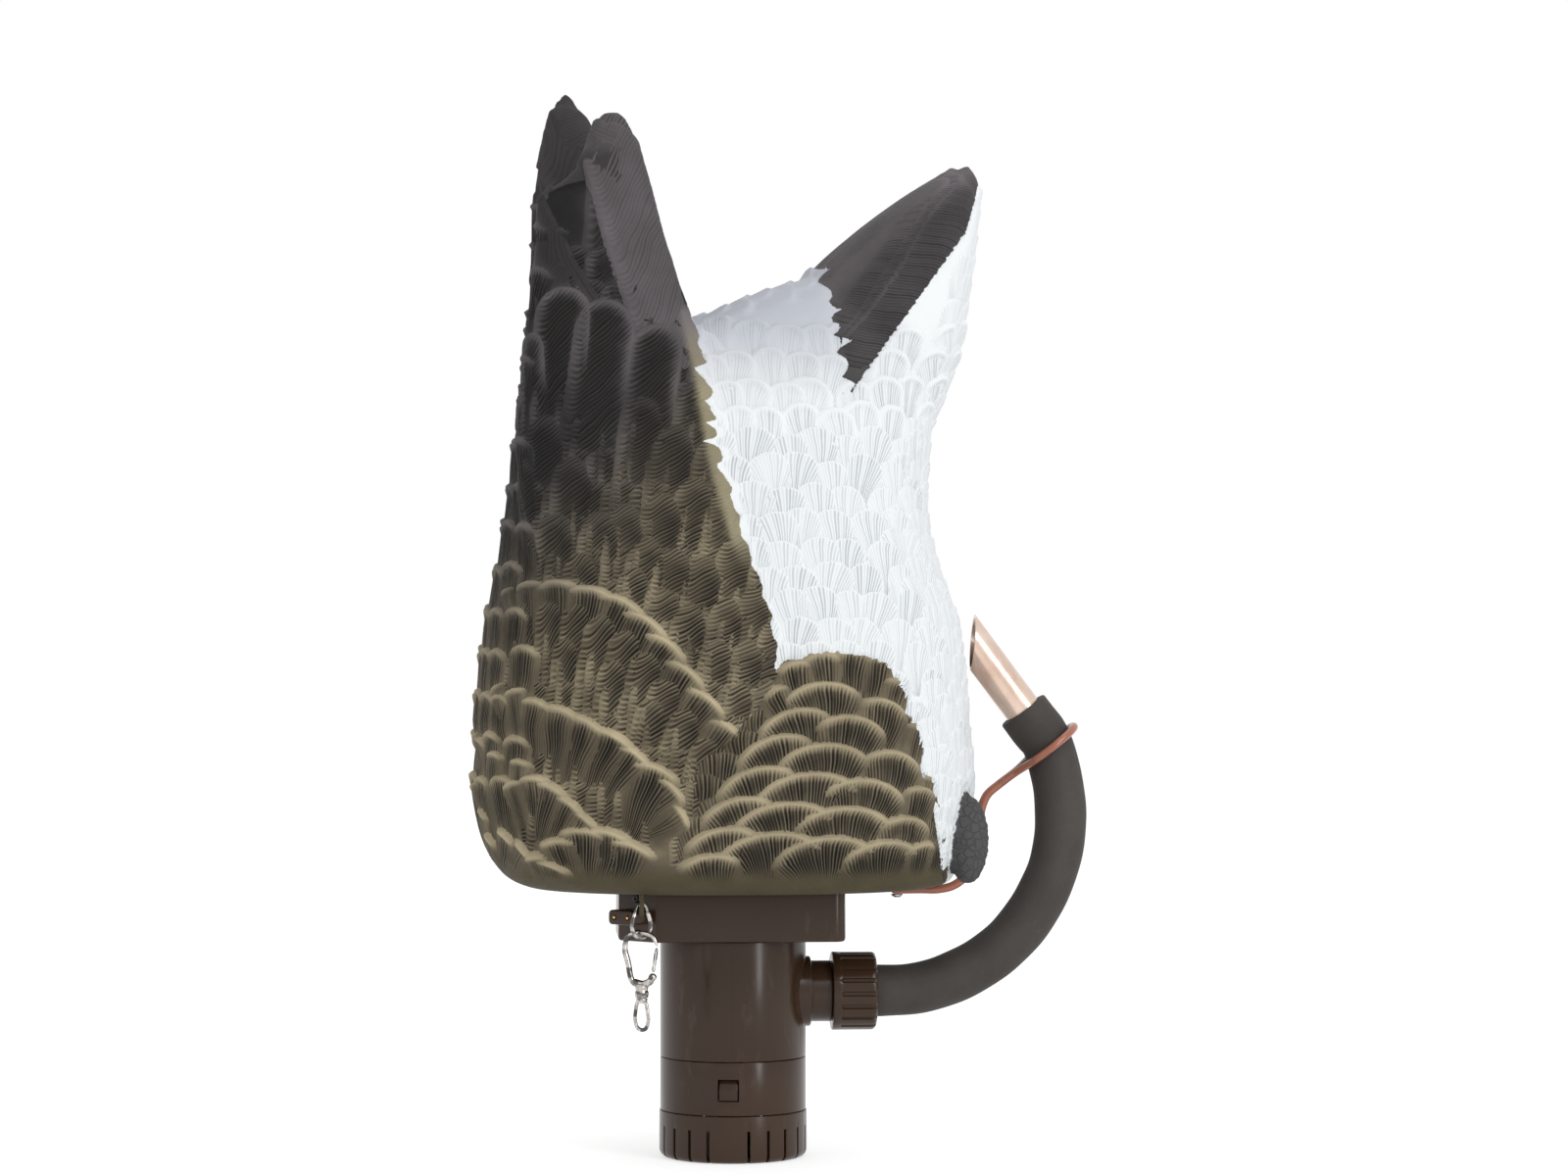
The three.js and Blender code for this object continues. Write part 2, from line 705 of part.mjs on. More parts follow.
function clipScrew() {
  const headTop = birdBottom - 2 * fitGap - 2 * wireRadius;
  const profile = [[0, headTop - screwHeadHeight], [screwHeadRadius * 0.6, headTop - screwHeadHeight * 0.85],
    [screwHeadRadius, headTop - screwHeadHeight * 0.3], [screwHeadRadius, headTop],
    [screwShankRadius, headTop], [screwShankRadius, birdBottom + screwShankLength - 1],
    [0, birdBottom + screwShankLength - 1]];
  return lathe(profile, 14);
}

add('clip_screw', clipScrew(), colours.chrome).position.set(screwX, 0, 0);

// The ring link that hangs in the bird's lug, and the swivel snap hook that hangs in the link

function loopCurve(points) {
  return new THREE.CatmullRomCurve3(points.map(([x, z]) => new THREE.Vector3(x, 0, z)), true);
}

// A closed wire loop. The extrusion of a closed curve ends where it starts, so its ends are welded.
function closedWire(curve, radius, steps, sides) {
  const frames = curve.computeFrenetFrames(steps, true);
  const section = circle(radius, sides);
  const points = [];
  for (let r = 0; r < steps; r += 1) {
    const centre = curve.getPointAt(r / steps);
    for (const p of section) {
      points.push(centre.clone().addScaledVector(frames.normals[r], p.x)
        .addScaledVector(frames.binormals[r], p.y));
    }
  }
  const index = [];
  for (let r = 0; r < steps; r += 1) {
    for (let k = 0; k < sides; k += 1) {
      const a = r * sides + k;
      const b = r * sides + ((k + 1) % sides);
      const c = ((r + 1) % steps) * sides;
      index.push(a, b, c + ((k + 1) % sides), a, c + ((k + 1) % sides), c + k);
    }
  }
  const geometry = new THREE.BufferGeometry().setFromPoints(points);
  geometry.setIndex(index);
  return geometry;
}

const link = new THREE.Group();
link.position.set(linkX, linkY, linkTopZ - linkHeight);
link.rotation.z = turn(linkTurn);
decoy.add(link);
const w = linkHalfWidth;
const h = linkHeight;
const linkCurve = loopCurve([
  [0, 0], [w * 0.75, h * 0.1], [w, h * 0.33], [w * 0.72, h * 0.68], [w * 0.3, h * 0.94],
  [0, h], [-w * 0.3, h * 0.94], [-w * 0.72, h * 0.68], [-w, h * 0.33], [-w * 0.75, h * 0.1],
]);
add('ring_link', closedWire(linkCurve, linkWire, 20, 6), colours.chrome, link);

// The hook's own frame has its origin on the swivel's axis, at the top of the barrel.
const hookTop = linkTopZ - linkHeight + linkWire + hookWire + fitGap;
const hook = new THREE.Group();
hook.position.set(linkX, linkY, hookTop - hookHeight);
hook.rotation.z = turn(hookTurn);
decoy.add(hook);

const ballX = 6.6;
const ballZ = 5;
const noseX = hookHalfWidth - 0.8;
const noseZ = hookHeight - 6.6;

function hookBody() {
  const [u, v] = [hookHalfWidth, hookHeight];
  const points = [[ballX - 1, 2.6], [0, 0.6], [-5.4, 2.2], [-u * 0.8, v * 0.42], [-u, v * 0.74],
    [-u * 0.72, v * 0.95], [0, v], [u * 0.66, v * 0.94], [noseX, noseZ]];
  const curve = new THREE.CatmullRomCurve3(points.map(([x, z]) => new THREE.Vector3(x, 0, z)));
  let shape = solid(pipe(curve, hookWire, 18, 6));
  shape = shape.add(solid(new THREE.SphereGeometry(gateBall, 8, 6).translate(ballX, 0, ballZ)));
  shape = shape.add(solid(pipe(new THREE.LineCurve3(new THREE.Vector3(-5, 0, 1.4),
    new THREE.Vector3(ballX, 0, ballZ - 1.4)), hookWire * 1.35, 1, 8)));
  shape = shape.add(solid(cylinder(barrelRadius, barrelHeight, 12, -barrelHeight + 1)));
  const bore = cylinder(eyePinRadius + fitGap, eyePinLength + 1, 10, -barrelHeight);
  return geometryOf(shape.subtract(solid(bore)));
}

function gate() {
  const start = new THREE.Vector3(ballX, 0, ballZ);
  const end = new THREE.Vector3(noseX, 0, noseZ);
  const way = end.clone().sub(start).normalize();
  const from = start.clone().addScaledVector(way, gateBall + fitGap);
  const to = end.clone().addScaledVector(way, -3 * fitGap);
  return pipe(new THREE.LineCurve3(from, to), gateRadius, 1, 8);
}

function swivelEye() {
  const top = -barrelHeight + 1 - fitGap;
  const collar = 2.6;
  const [a, b] = [eyeHalfWidth, eyeHeight];
  const curve = loopCurve([
    [0, 0], [a * 0.62, -b * 0.06], [a * 0.92, -b * 0.35], [a, -b * 0.68], [a * 0.66, -b * 0.93],
    [0, -b], [-a * 0.66, -b * 0.93], [-a, -b * 0.68], [-a * 0.92, -b * 0.35], [-a * 0.62, -b * 0.06],
  ]);
  let shape = solid(closedWire(curve, eyeWire, 18, 6).translate(0, 0, top - collar + eyeWire));
  shape = shape.add(solid(cylinder(barrelRadius * 0.82, collar, 12, top - collar)));
  shape = shape.add(solid(cylinder(eyePinRadius, eyePinLength + collar / 2, 10, top - collar / 2)));
  return geometryOf(shape);
}

add('snap_hook', hookBody(), colours.chrome, hook);
add('snap_gate', gate(), colours.chrome, hook);
const eyeMesh = add('swivel_eye', swivelEye(), colours.chrome, hook);
eyeMesh.rotation.z = turn(eyeTurn);

export default decoy;
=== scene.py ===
"""A feeding goose decoy: the moulded rear half of a goose, tail up, over a submersible pump.

Sizes are millimetres in this script's own tables and metres in Blender. +Z is up, -X is the
bird's back with its folded wings, +X its belly, and the bird mirrors about Y = 0.
"""

import math

import bmesh
import bpy
import numpy as np
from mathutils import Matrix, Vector
from mathutils.bvhtree import BVHTree


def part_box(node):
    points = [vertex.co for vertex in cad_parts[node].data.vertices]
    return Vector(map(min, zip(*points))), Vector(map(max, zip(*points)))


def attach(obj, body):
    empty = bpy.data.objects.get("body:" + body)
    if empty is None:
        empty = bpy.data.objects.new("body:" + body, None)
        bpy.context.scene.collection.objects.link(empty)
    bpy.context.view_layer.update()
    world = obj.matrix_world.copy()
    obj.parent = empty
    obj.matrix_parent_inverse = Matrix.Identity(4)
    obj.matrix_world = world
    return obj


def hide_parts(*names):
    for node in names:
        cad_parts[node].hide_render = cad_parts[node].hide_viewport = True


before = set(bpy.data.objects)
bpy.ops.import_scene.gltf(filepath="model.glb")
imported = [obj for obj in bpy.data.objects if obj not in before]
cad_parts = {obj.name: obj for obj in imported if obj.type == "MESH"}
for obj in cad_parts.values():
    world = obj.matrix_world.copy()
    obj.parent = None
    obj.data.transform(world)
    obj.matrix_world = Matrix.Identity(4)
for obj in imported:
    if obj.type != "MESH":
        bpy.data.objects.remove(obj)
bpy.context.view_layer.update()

MM = 0.001
FIT_GAP = 0.3
BIRD_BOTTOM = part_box("control_housing")[1].z / MM + FIT_GAP

# The photograph's camera, level, with its horizon a little below the picture's middle
PICTURE = (1600, 1200)
AZIMUTH = math.radians(-4)
DISTANCE = 2250
FOCAL_PIXELS = 4126
HORIZON_ROW = 641
EYE_HEIGHT = 293.25
EYE_RIGHT = 28.36
RIGHT = np.array([math.cos(AZIMUTH), math.sin(AZIMUTH), 0])
AHEAD = np.array([-math.sin(AZIMUTH), math.cos(AZIMUTH), 0])
EYE = RIGHT * EYE_RIGHT - AHEAD * DISTANCE + np.array([0, 0, EYE_HEIGHT])


def ease(value, low, high):
    share = np.clip((value - low) / (high - low), 0, 1)
    return share * share * (3 - 2 * share)


def through(stations, at):
    """A smooth curve through stations, rows that start with their own parameter."""
    last = len(stations) - 1
    i = 0
    while i < last - 1 and at > stations[i + 1][0]:
        i += 1
    p, q, r, s = (np.array(stations[min(last, max(0, k))], float) for k in (i - 1, i, i + 1, i + 2))
    span = r[0] - q[0]
    u = min(1.0, max(0.0, (at - q[0]) / span))
    into = (r - q) / span if i == 0 else (r - p) / (r[0] - p[0])
    out = (r - q) / span if i == last - 1 else (s - q) / (s[0] - q[0])
    value = (2 * u**3 - 3 * u**2 + 1) * q + (u**3 - 2 * u**2 + u) * span * into
    value += (3 * u**2 - 2 * u**3) * r + (u**3 - u**2) * span * out
    return value[1:]


# Meshes


def new_mesh(name, points, faces):
    mesh = bpy.data.meshes.new(name)
    mesh.from_pydata([tuple(p) for p in np.asarray(points, float)], [], faces)
    mesh.update()
    return mesh


def new_object(name, mesh):
    thing = bpy.data.objects.new(name, mesh)
    bpy.context.scene.collection.objects.link(thing)
    return thing


def loft(rings, closed=False):
    """Points and faces of a skin over rings of points, capped at its ends unless closed."""
    count = len(rings[0])
    points = [tuple(p) for ring in rings for p in ring]
    faces = []
    spans = len(rings) if closed else len(rings) - 1
    for r in range(spans):
        low, high = r * count, ((r + 1) % len(rings)) * count
        for k in range(count):
            n = (k + 1) % count
            faces.append((low + k, low + n, high + n, high + k))
    if not closed:
        faces.append(tuple(range(count))[::-1])
        faces.append(tuple(range((len(rings) - 1) * count, len(rings) * count)))
    return points, faces


def joined(parts):
    """Several (points, faces) as one."""
    points, faces = [], []
    for some_points, some_faces in parts:
        start = len(points)
        points += list(some_points)
        faces += [tuple(start + v for v in face) for face in some_faces]
    return points, faces


def applied(thing):
    """The object's mesh with its modifiers taken in."""
    depsgraph = bpy.context.evaluated_depsgraph_get()
    return bpy.data.meshes.new_from_object(thing.evaluated_get(depsgraph), depsgraph=depsgraph)


def vertices_of(mesh):
    co = np.empty(len(mesh.vertices) * 3, np.float32)
    mesh.vertices.foreach_get("co", co)
    return co.reshape(-1, 3).astype(float)


def normals_of(mesh):
    normals = np.empty(len(mesh.vertices) * 3, np.float32)
    mesh.vertex_normals.foreach_get("vector", normals)
    return normals.reshape(-1, 3).astype(float)


# The bird's smooth form, close to the frame's. Heights are above its flat bottom.

TRUNK = [  # height, back edge in X, belly edge in X, half depth in Y
    (0, -112, 112, 86), (3, -121, 120, 94), (10, -131, 125, 101), (22, -139, 130, 106),
    (40, -143.5, 133, 109), (62, -145, 134.5, 110), (90, -140, 132, 109), (122, -136, 129.5, 106),
    (150, -133, 125, 102), (180, -129, 114.5, 97), (200, -127, 110, 93), (220, -125, 108.5, 88),
    (240, -124, 110, 83), (261, -120, 112, 77), (280, -110, 116, 70), (298, -86, 119.5, 62),
    (312, -34, 121, 53), (324, -6, 122, 44), (334, 22, 122, 33), (339, 44, 120, 20),
]
TRUNK_POWER = 2 / 2.3
WING_EDGE = [(70, -26), (86, -6), (112, 15), (128, 17.5), (150, 14), (168, 8.5), (192, 0), (233, -11),
             (260, -15), (278, -17.5), (313, -26)]
WING_STEP = 5
WING_BOTTOM = 76
SKIN_DEPTH = 1.7  # the feathers stand this much on either side of the frame's surface

FAR_WING = [  # height, back edge, front edge, distance from the middle, half thickness
    (110, -108, -22, 50, 20), (190, -116, -16, 54, 23), (240, -119, -14, 55, 24),
    (280, -116, -14, 53, 24), (313, -113, -28, 50, 21), (353, -110, -44, 46, 17),
    (385, -109, -58, 41, 13), (412, -105, -73, 37, 9), (432, -100, -83, 34, 5.5),
    (444, -95, -90, 32, 2),
]
NEAR_WING = [
    (110, -108, -22, 50, 20), (190, -116, -16, 54, 23), (240, -119, -12, 55, 24),
    (280, -116, -12, 53, 24), (313, -113, -26, 50, 21), (353, -108, -40.5, 46, 17),
    (377, -106, -47, 42, 13.5), (388, -92, -50, 40, 11.5), (398, -84, -53, 38, 9.5),
    (412, -79, -57, 35, 7), (420, -76, -60.5, 34, 4.5), (425, -73, -64, 33, 2),
]
TAIL = [  # share of its length, upper X and height, lower X and height, half width
    (0, 26, 318, 99, 236, 42), (0.15, 42, 340.5, 113, 261, 50), (0.4, 66, 361, 124.5, 294, 50),
    (0.65, 91, 379, 130.5, 326.5, 47), (0.87, 116, 394, 134.5, 357, 41), (1, 131, 402, 138, 388, 32),
]
TAIL_ROUND_FROM = 0.7
TAIL_ROUND_OVER = 0.32
FOOT_CENTRE = (126, 45, 27.5)
FOOT_RADII = (11.5, 13, 24.5)


def turns(count):
    return np.arange(count) * 2 * math.pi / count


def trunk_form():
    rings = []
    angle = turns(160)
    c, s = np.cos(angle), np.sin(angle)
    for height in np.concatenate([[0, 1.2], np.arange(3, 339, 3), [339]]):
        back, belly, depth = through(TRUNK, height)
        edge = through(WING_EDGE, max(height, WING_EDGE[0][0]))[0]
        centre, length = (back + belly) / 2, (belly - back) / 2
        x = centre + length * np.sign(c) * np.abs(c) ** TRUNK_POWER
        y = depth * np.sign(s) * np.abs(s) ** TRUNK_POWER
        on_wing = (1 - ease(x, edge - 3, edge + 3)) * ease(height, WING_BOTTOM, WING_BOTTOM + 16)
        groove = 15 * np.exp(-((y / 20) ** 2)) * ease(height, 130, 270) * (x < centre)
        nx, ny = (x - centre) / length**2, y / depth**2
        size = np.hypot(nx, ny) + 1e-12
        out = WING_STEP * on_wing - groove - SKIN_DEPTH * ease(height, 4, 14)
        rings.append(np.column_stack([x + out * nx / size, y + out * ny / size, np.full_like(x, height)]))
    return loft(rings)


def wing_form(stations, side):
    bottom, top = stations[0][0], stations[-1][0]
    angle = turns(56)
    c, s = np.cos(angle), np.sin(angle)
    rings = []
    for share in np.linspace(0, 1, 70):
        height = bottom + (top - bottom) * math.sin(math.pi / 2 * share)
        back, front, distance, half = through(stations, height)
        x = (back + front) / 2 + (front - back) / 2 * c
        y = side * distance + (half - 0.6) * np.sign(s) * np.abs(s) ** 0.8
        rings.append(np.column_stack([x, y, np.full_like(x, height)]))
    return loft(rings)


def tail_half_width(share, half):
    over = max(0.0, share - TAIL_ROUND_FROM) / TAIL_ROUND_OVER
    return half * math.sqrt(1 - over * over)


def tail_form():
    angle = turns(64)
    c, s = np.cos(angle), np.sin(angle)
    rings = []
    for share in np.linspace(0, 1, 60):
        ux, uz, lx, lz, half = through(TAIL, share)
        half = tail_half_width(share, half)
        x = (ux + lx) / 2 + (ux - lx) / 2 * c
        z = (uz + lz) / 2 + (uz - lz) / 2 * c
        rings.append(np.column_stack([x, -half * s, z]))
    return loft(rings)


def foot_form(side):
    rings = []
    angle = turns(40)
    for tilt in np.linspace(-math.pi / 2 + 0.06, math.pi / 2 - 0.06, 30):
        across = math.cos(tilt)
        rings.append(np.column_stack([
            FOOT_CENTRE[0] + FOOT_RADII[0] * across * np.cos(angle),
            side * FOOT_CENTRE[1] + FOOT_RADII[1] * across * np.sin(angle),
            np.full(len(angle), FOOT_CENTRE[2] + FOOT_RADII[2] * math.sin(tilt)),
        ]))
    return loft(rings)


VOXEL = 1.8


def smooth_bird():
    """The bird as one smooth skin, without its feathers, in fine even quads."""
    parts = [trunk_form(), wing_form(FAR_WING, 1), wing_form(NEAR_WING, -1), tail_form()]
    parts += [foot_form(1), foot_form(-1)]
    points, faces = joined(parts)
    points = (np.array(points) + (0, 0, BIRD_BOTTOM)) * MM
    thing = new_object("bird_form", new_mesh("bird_form", points, faces))
    remesh = thing.modifiers.new("even", "REMESH")
    remesh.mode = "VOXEL"
    remesh.voxel_size = VOXEL * MM
    soften = thing.modifiers.new("soften", "SMOOTH")
    soften.factor = 0.5
    soften.iterations = 10
    finer = thing.modifiers.new("finer", "SUBSURF")
    finer.levels = finer.render_levels = 1
    mesh = applied(thing)
    bpy.data.objects.remove(thing)
    return mesh


# Feathers. Each lies along an axis of two or three points on the skin, root first. A fan is a
# broad scallop with barbs that spread from below its root. A vane has a smooth margin along one
# side, and barbs that leave it and sweep towards the tip.


class Feather:
    def __init__(self, points, normals, half_width, kind, **more):
        self.points = np.array(points, float)
        self.normals = np.array(normals, float)
        self.half_width = half_width
        self.kind = kind
        self.lift = more.get("lift", 2.6)
        self.tilt = more.get("tilt", 0.5)
        self.hand = more.get("hand", 1)
        self.margin = more.get("margin", 0.4)
        self.sweep = more.get("sweep", 0.9)
        self.round = more.get("round", 1.0)
        self.lip = more.get("lip", 1.0)
        self.run = more.get("run", 0.0)
        self.fan = more.get("fan", 0.9)
        self.tone = more.get("tone", 0.0)
        self.above = more.get("above", 0.0)
        self.depth = more.get("depth", 1.0)
        self.spacing = more.get("spacing", 2.1)
        self.seed = more.get("seed", 0.0)
        self.group = more.get("group", "wing")
        steps = np.diff(self.points, axis=0)
        self.spans = np.linalg.norm(steps, axis=1)
        self.ways = steps / self.spans[:, None]
        self.length = self.spans.sum()
        self.middle = self.points.mean(axis=0)
        self.reach = self.length / 2 + half_width + 8

    def local(self, at):
        """How far along the axis and across it each point is."""
        along = np.zeros(len(at))
        across = np.zeros(len(at))
        nearest = np.full(len(at), np.inf)
        start = 0.0
        last = len(self.spans) - 1
        for i, (point, way, span) in enumerate(zip(self.points, self.ways, self.spans)):
            normal = self.normals[i] + self.normals[i + 1]
            normal = normal - (normal @ way) * way
            normal /= np.linalg.norm(normal)
            side = np.cross(way, normal)
            offset = at - point
            s = offset @ way
            s = np.clip(s, -np.inf if i == 0 else 0, np.inf if i == last else span)
            b = offset @ side
            gap = np.hypot(offset @ way - s, b)
            take = gap < nearest
            nearest[take] = gap[take]
            along[take] = start + s[take]
            across[take] = b[take]
            start += span
        return along, self.hand * across

    def inset(self, along, across):
        """How far inside the outline each point is, in millimetres. Negative is outside."""
        half = self.half_width * (0.8 + 0.2 * ease(along, 0, 0.45 * self.length))
        reach = min(self.half_width * self.round, self.length * 0.9)
        over = np.clip((along - self.length + reach) / reach, 0, None)
        return (1 - np.hypot(over, across / half)) * np.minimum(half, reach)

    def from_margin(self, across):
        """How far each point is past the smooth margin, into the barbs."""
        return across + self.half_width * (1 - self.margin)

    def crown(self, along):
        """1 over the rounded end, 0 further down."""
        reach = min(self.half_width * self.round, self.length * 0.9)
        run = self.run * self.length
        return ease(along, self.length - 0.95 * reach - run, self.length - 0.35 * reach - 0.5 * run)

    def split(self, along, across):
        """Dark wedges that open between the barbs towards the tip."""
        share = np.clip(along / self.length, 0, 1)
        wedge = np.zeros(len(along))
        for k in range(2):
            place = 0.75 * math.sin(5.3 * self.seed + 2.6 * k)
            lean = across - place * self.half_width * (0.45 + 0.55 * share)
            length = 0.5 + 0.5 * math.sin(3.1 * self.seed + 4 * k)
            opening = 0.35 + 0.9 * share
            wedge += length * np.exp(-((lean / opening) ** 2)) * ease(share, 0.35, 0.75)
        return np.clip(wedge, 0, 1) * self.depth

    def height(self, along, across, inset):
        share = np.clip(along / self.length, 0, 1)
        b = np.clip(across / self.half_width, -1, 1)
        top = self.above + self.lift * share**1.1 + self.tilt * b * share - 0.16 * self.lift * b**2
        crest = np.exp(-((np.clip(inset - 2.5, 0, None) / 2.1) ** 2)) * self.crown(along)
        hollow = np.exp(-(((inset - 6.5) / 2.8) ** 2)) * self.crown(along)
        if self.kind == "fan":
            top += self.lip * (1.6 * crest - 0.6 * hollow)
            top -= 0.5 * self.lip * self.split(along, across) * ease(inset, 3, 6)
        else:
            wide = self.margin * self.half_width
            ridge = np.exp(-(((self.from_margin(across) + 0.5 * wide) / (0.6 * wide + 0.5)) ** 2))
            top += np.maximum(0.6 * ridge, 1.1 * self.lip * crest)
            top -= 0.5 * self.depth * ease(self.from_margin(across), -0.5, 4)
        return (top + 0.2) * ease(inset, -0.3, 2.4)

    def barbs(self, along, across):
        """The barbs' running count, and how strongly they are cut."""
        wobble = 0.25 * np.sin(along * 0.23 + self.seed) + 0.16 * np.sin(across * 0.5 + 2 * self.seed)
        if self.kind == "fan":
            origin = self.fan * self.length
            angle = np.arctan2(across, along + origin)
            count = angle * (self.length * 0.8 + origin) / self.spacing
            return count + wobble + self.seed, self.depth * np.ones(len(along))
        b = np.clip(self.from_margin(across), 0, None)
        count = (along - self.sweep * b * b / (b + 4)) / (self.spacing * math.hypot(1, self.sweep) * 0.9)
        wide = self.margin * self.half_width
        return count + wobble + self.seed, self.depth * ease(self.from_margin(across), -0.9 * wide, 0.8)

    def paleness(self, across, inset, share):
        """How far the paint is rubbed through to the edge colour: on tips, rims and margins."""
        rim = (1 - ease(inset, 3.2, 6.4)) * self.crown(share * self.length) * self.lip
        if self.kind == "fan":
            return rim
        patch = 0.26 + 0.2 * np.sin(share * 9 + 4 * self.seed)
        margin = patch * (1 - ease(self.from_margin(across), -0.6, 3.2))
        return np.maximum(rim, margin)

    def darkness(self, along, across, inset):
        """How dark each point is painted: painted shade, with darker paint, under a fan's rim and in the
        splits between its barbs; on a vane, its paint darkening away from the margin.
        """
        if self.kind == "fan":
            under = ease(inset, 3.6, 6.8) * (1 - 0.6 * ease(self.length - along, 12, 34))
            return np.maximum(under, 0.9 * self.split(along, across) * ease(inset, 4, 7))
        return ease(self.from_margin(across) / (2 * self.half_width), 0.1, 0.75)


# Reading places off the photograph: a pixel becomes the point of the skin that it shows


class Skin:
    def __init__(self, mesh):
        self.points = vertices_of(mesh) / MM
        self.normals = normals_of(mesh)
        polygons = [tuple(p.vertices) for p in mesh.polygons]
        self.tree = BVHTree.FromPolygons([tuple(p) for p in self.points], polygons)

    def cast(self, origin, way):
        hit, normal, _, _ = self.tree.ray_cast(Vector(origin), Vector(way))
        return None if hit is None else (np.array(hit), np.array(normal))

    def seen_at(self, column, row):
        k = (column - PICTURE[0] / 2) / FOCAL_PIXELS
        h = (HORIZON_ROW - row) / FOCAL_PIXELS
        return self.cast(EYE, AHEAD + RIGHT * k + np.array([0, 0, h]))

    def nearest(self, point):
        hit, normal, _, _ = self.tree.find_nearest(Vector(point))
        return np.array(hit), np.array(normal)


def mirrored(skin, point):
    return skin.nearest(np.array(point) * (1, -1, 1))


# The carved plan, read off the photograph: column and row of a feather's tip, its lean to the
# right in degrees, half width and length, all in pixels. The far side mirrors it.

PIXEL = 0.522  # one pixel in millimetres on the bird's near side

COVERT_TOPS = [
    (520, 600, -4, 18, 60), (540, 592, 0, 24, 64), (570, 590, 4, 30, 66), (606, 597, 12, 34, 66),
    (636, 608, 22, 34, 66), (662, 628, 30, 34, 66), (684, 652, 34, 32, 66), (704, 680, 36, 31, 64),
    (724, 708, 36, 30, 60), (744, 736, 32, 26, 56), (758, 762, 26, 20, 50),
]
COVERT_VANES = [
    (534, 612, 0, 18, 100), (562, 610, 3, 20, 110), (590, 612, 6, 20, 115), (616, 624, 10, 21, 118),
    (642, 640, 13, 21, 118), (664, 662, 15, 20, 112), (684, 690, 17, 20, 105), (704, 720, 17, 19, 92),
    (724, 750, 15, 18, 80), (578, 650, 4, 18, 80), (628, 672, 10, 18, 90), (668, 712, 14, 18, 80),
]
COVERTS = [  # five ridges that run down towards the belly, each of overlapping tips
    (509, 699, -10, 18, 70), (527, 701, -2, 22, 76), (549, 711, 8, 25, 80), (575, 719, 10, 28, 84),
    (602, 731, 18, 28, 80), (630, 745, 24, 28, 78), (652, 764, 34, 26, 72), (673, 779, 22, 32, 84),
    (690, 800, 44, 24, 60), (700, 828, 58, 20, 50),
    (489, 752, -8, 18, 60), (509, 765, 8, 24, 62), (534, 773, 8, 22, 56), (524, 795, -12, 22, 56),
    (546, 789, 0, 26, 60), (566, 798, 16, 26, 60), (586, 815, 28, 24, 54), (600, 830, 32, 20, 46),
    (487, 798, -8, 16, 50), (496, 825, 0, 18, 48), (503, 851, -4, 18, 40), (520, 848, 6, 22, 44),
    (537, 862, 24, 18, 36),
    (546, 868, -24, 22, 46), (568, 852, -16, 28, 56), (594, 841, -4, 32, 60), (622, 843, 8, 32, 62),
    (647, 856, 18, 30, 56), (668, 871, 24, 28, 48), (690, 884, 20, 26, 38),
    (500, 880, 0, 20, 28), (524, 890, 0, 22, 24), (548, 884, -14, 24, 30), (566, 876, 0, 28, 34),
    (590, 883, 12, 28, 30), (614, 893, 14, 26, 26), (642, 896, 8, 26, 24), (668, 899, 4, 24, 22),
]
FLANK = [
    (806, 674, -16, 24, 60), (836, 664, -6, 26, 60), (868, 661, 0, 26, 60), (896, 668, 8, 24, 64),
    (786, 700, -22, 22, 54), (916, 692, 16, 22, 74), (936, 738, 12, 18, 80), (945, 790, 8, 14, 70),
    (836, 694, -6, 48, 60), (904, 712, 12, 34, 80), (806, 722, -14, 44, 58), (870, 728, 6, 46, 62),
    (784, 750, -18, 46, 58), (840, 756, -2, 56, 60), (912, 764, 8, 42, 70), (766, 782, -16, 48, 56),
    (820, 786, -6, 62, 60), (884, 792, 6, 54, 60), (938, 800, 8, 28, 60), (748, 812, -14, 44, 54),
    (796, 816, -6, 60, 56), (862, 820, 2, 62, 58), (924, 830, 8, 40, 56), (734, 842, -10, 44, 50),
    (784, 846, -4, 62, 50), (842, 850, 0, 62, 52), (900, 854, 4, 52, 50), (938, 856, 6, 26, 46),
    (722, 868, -8, 36, 42), (766, 874, -2, 56, 40), (822, 878, 0, 62, 38), (880, 880, 2, 58, 38),
    (932, 880, 4, 40, 36), (724, 892, -4, 36, 26), (796, 894, 0, 60, 24), (862, 896, 0, 60, 24),
]
COLUMNS = [
    (716, 386, 8, 28, 190), (728, 445, 9, 20, 150), (739, 466, 8, 17, 150), (660, 400, 9, 24, 190),
    (690, 430, 9, 24, 170), (678, 500, 8, 25, 150), (711, 484, 9, 23, 150), (737, 500, 8, 18, 140),
    (640, 512, 6, 24, 130), (662, 545, 7, 23, 120), (690, 556, 9, 23, 140), (721, 565, 10, 22, 140),
    (753, 545, 11, 20, 150), (612, 520, 3, 26, 110), (773, 597, 12, 20, 140), (745, 606, 11, 20, 120),
    (706, 612, 9, 21, 110), (681, 598, 8, 20, 90), (793, 630, 13, 19, 130), (766, 650, 11, 19, 110),
    (735, 650, 10, 20, 90), (785, 690, 11, 17, 90), (757, 694, 9, 17, 80), (648, 575, 6, 20, 80),
    (556, 420, 2, 26, 170), (584, 462, 3, 24, 150), (536, 460, 0, 20, 150), (566, 520, 2, 26, 110),
    (538, 540, 0, 22, 90), (592, 560, 2, 24, 80), (520, 500, 0, 14, 110), (516, 575, 0, 14, 100),
]
GREAT_VANES = [  # over the columns, with a smooth rim
    (577, 291, 4, 33, 210), (621, 304, 8, 34, 260), (673, 330, 8, 30, 230), (545, 338, 0, 20, 150),
    (530, 392, 0, 16, 120),
]
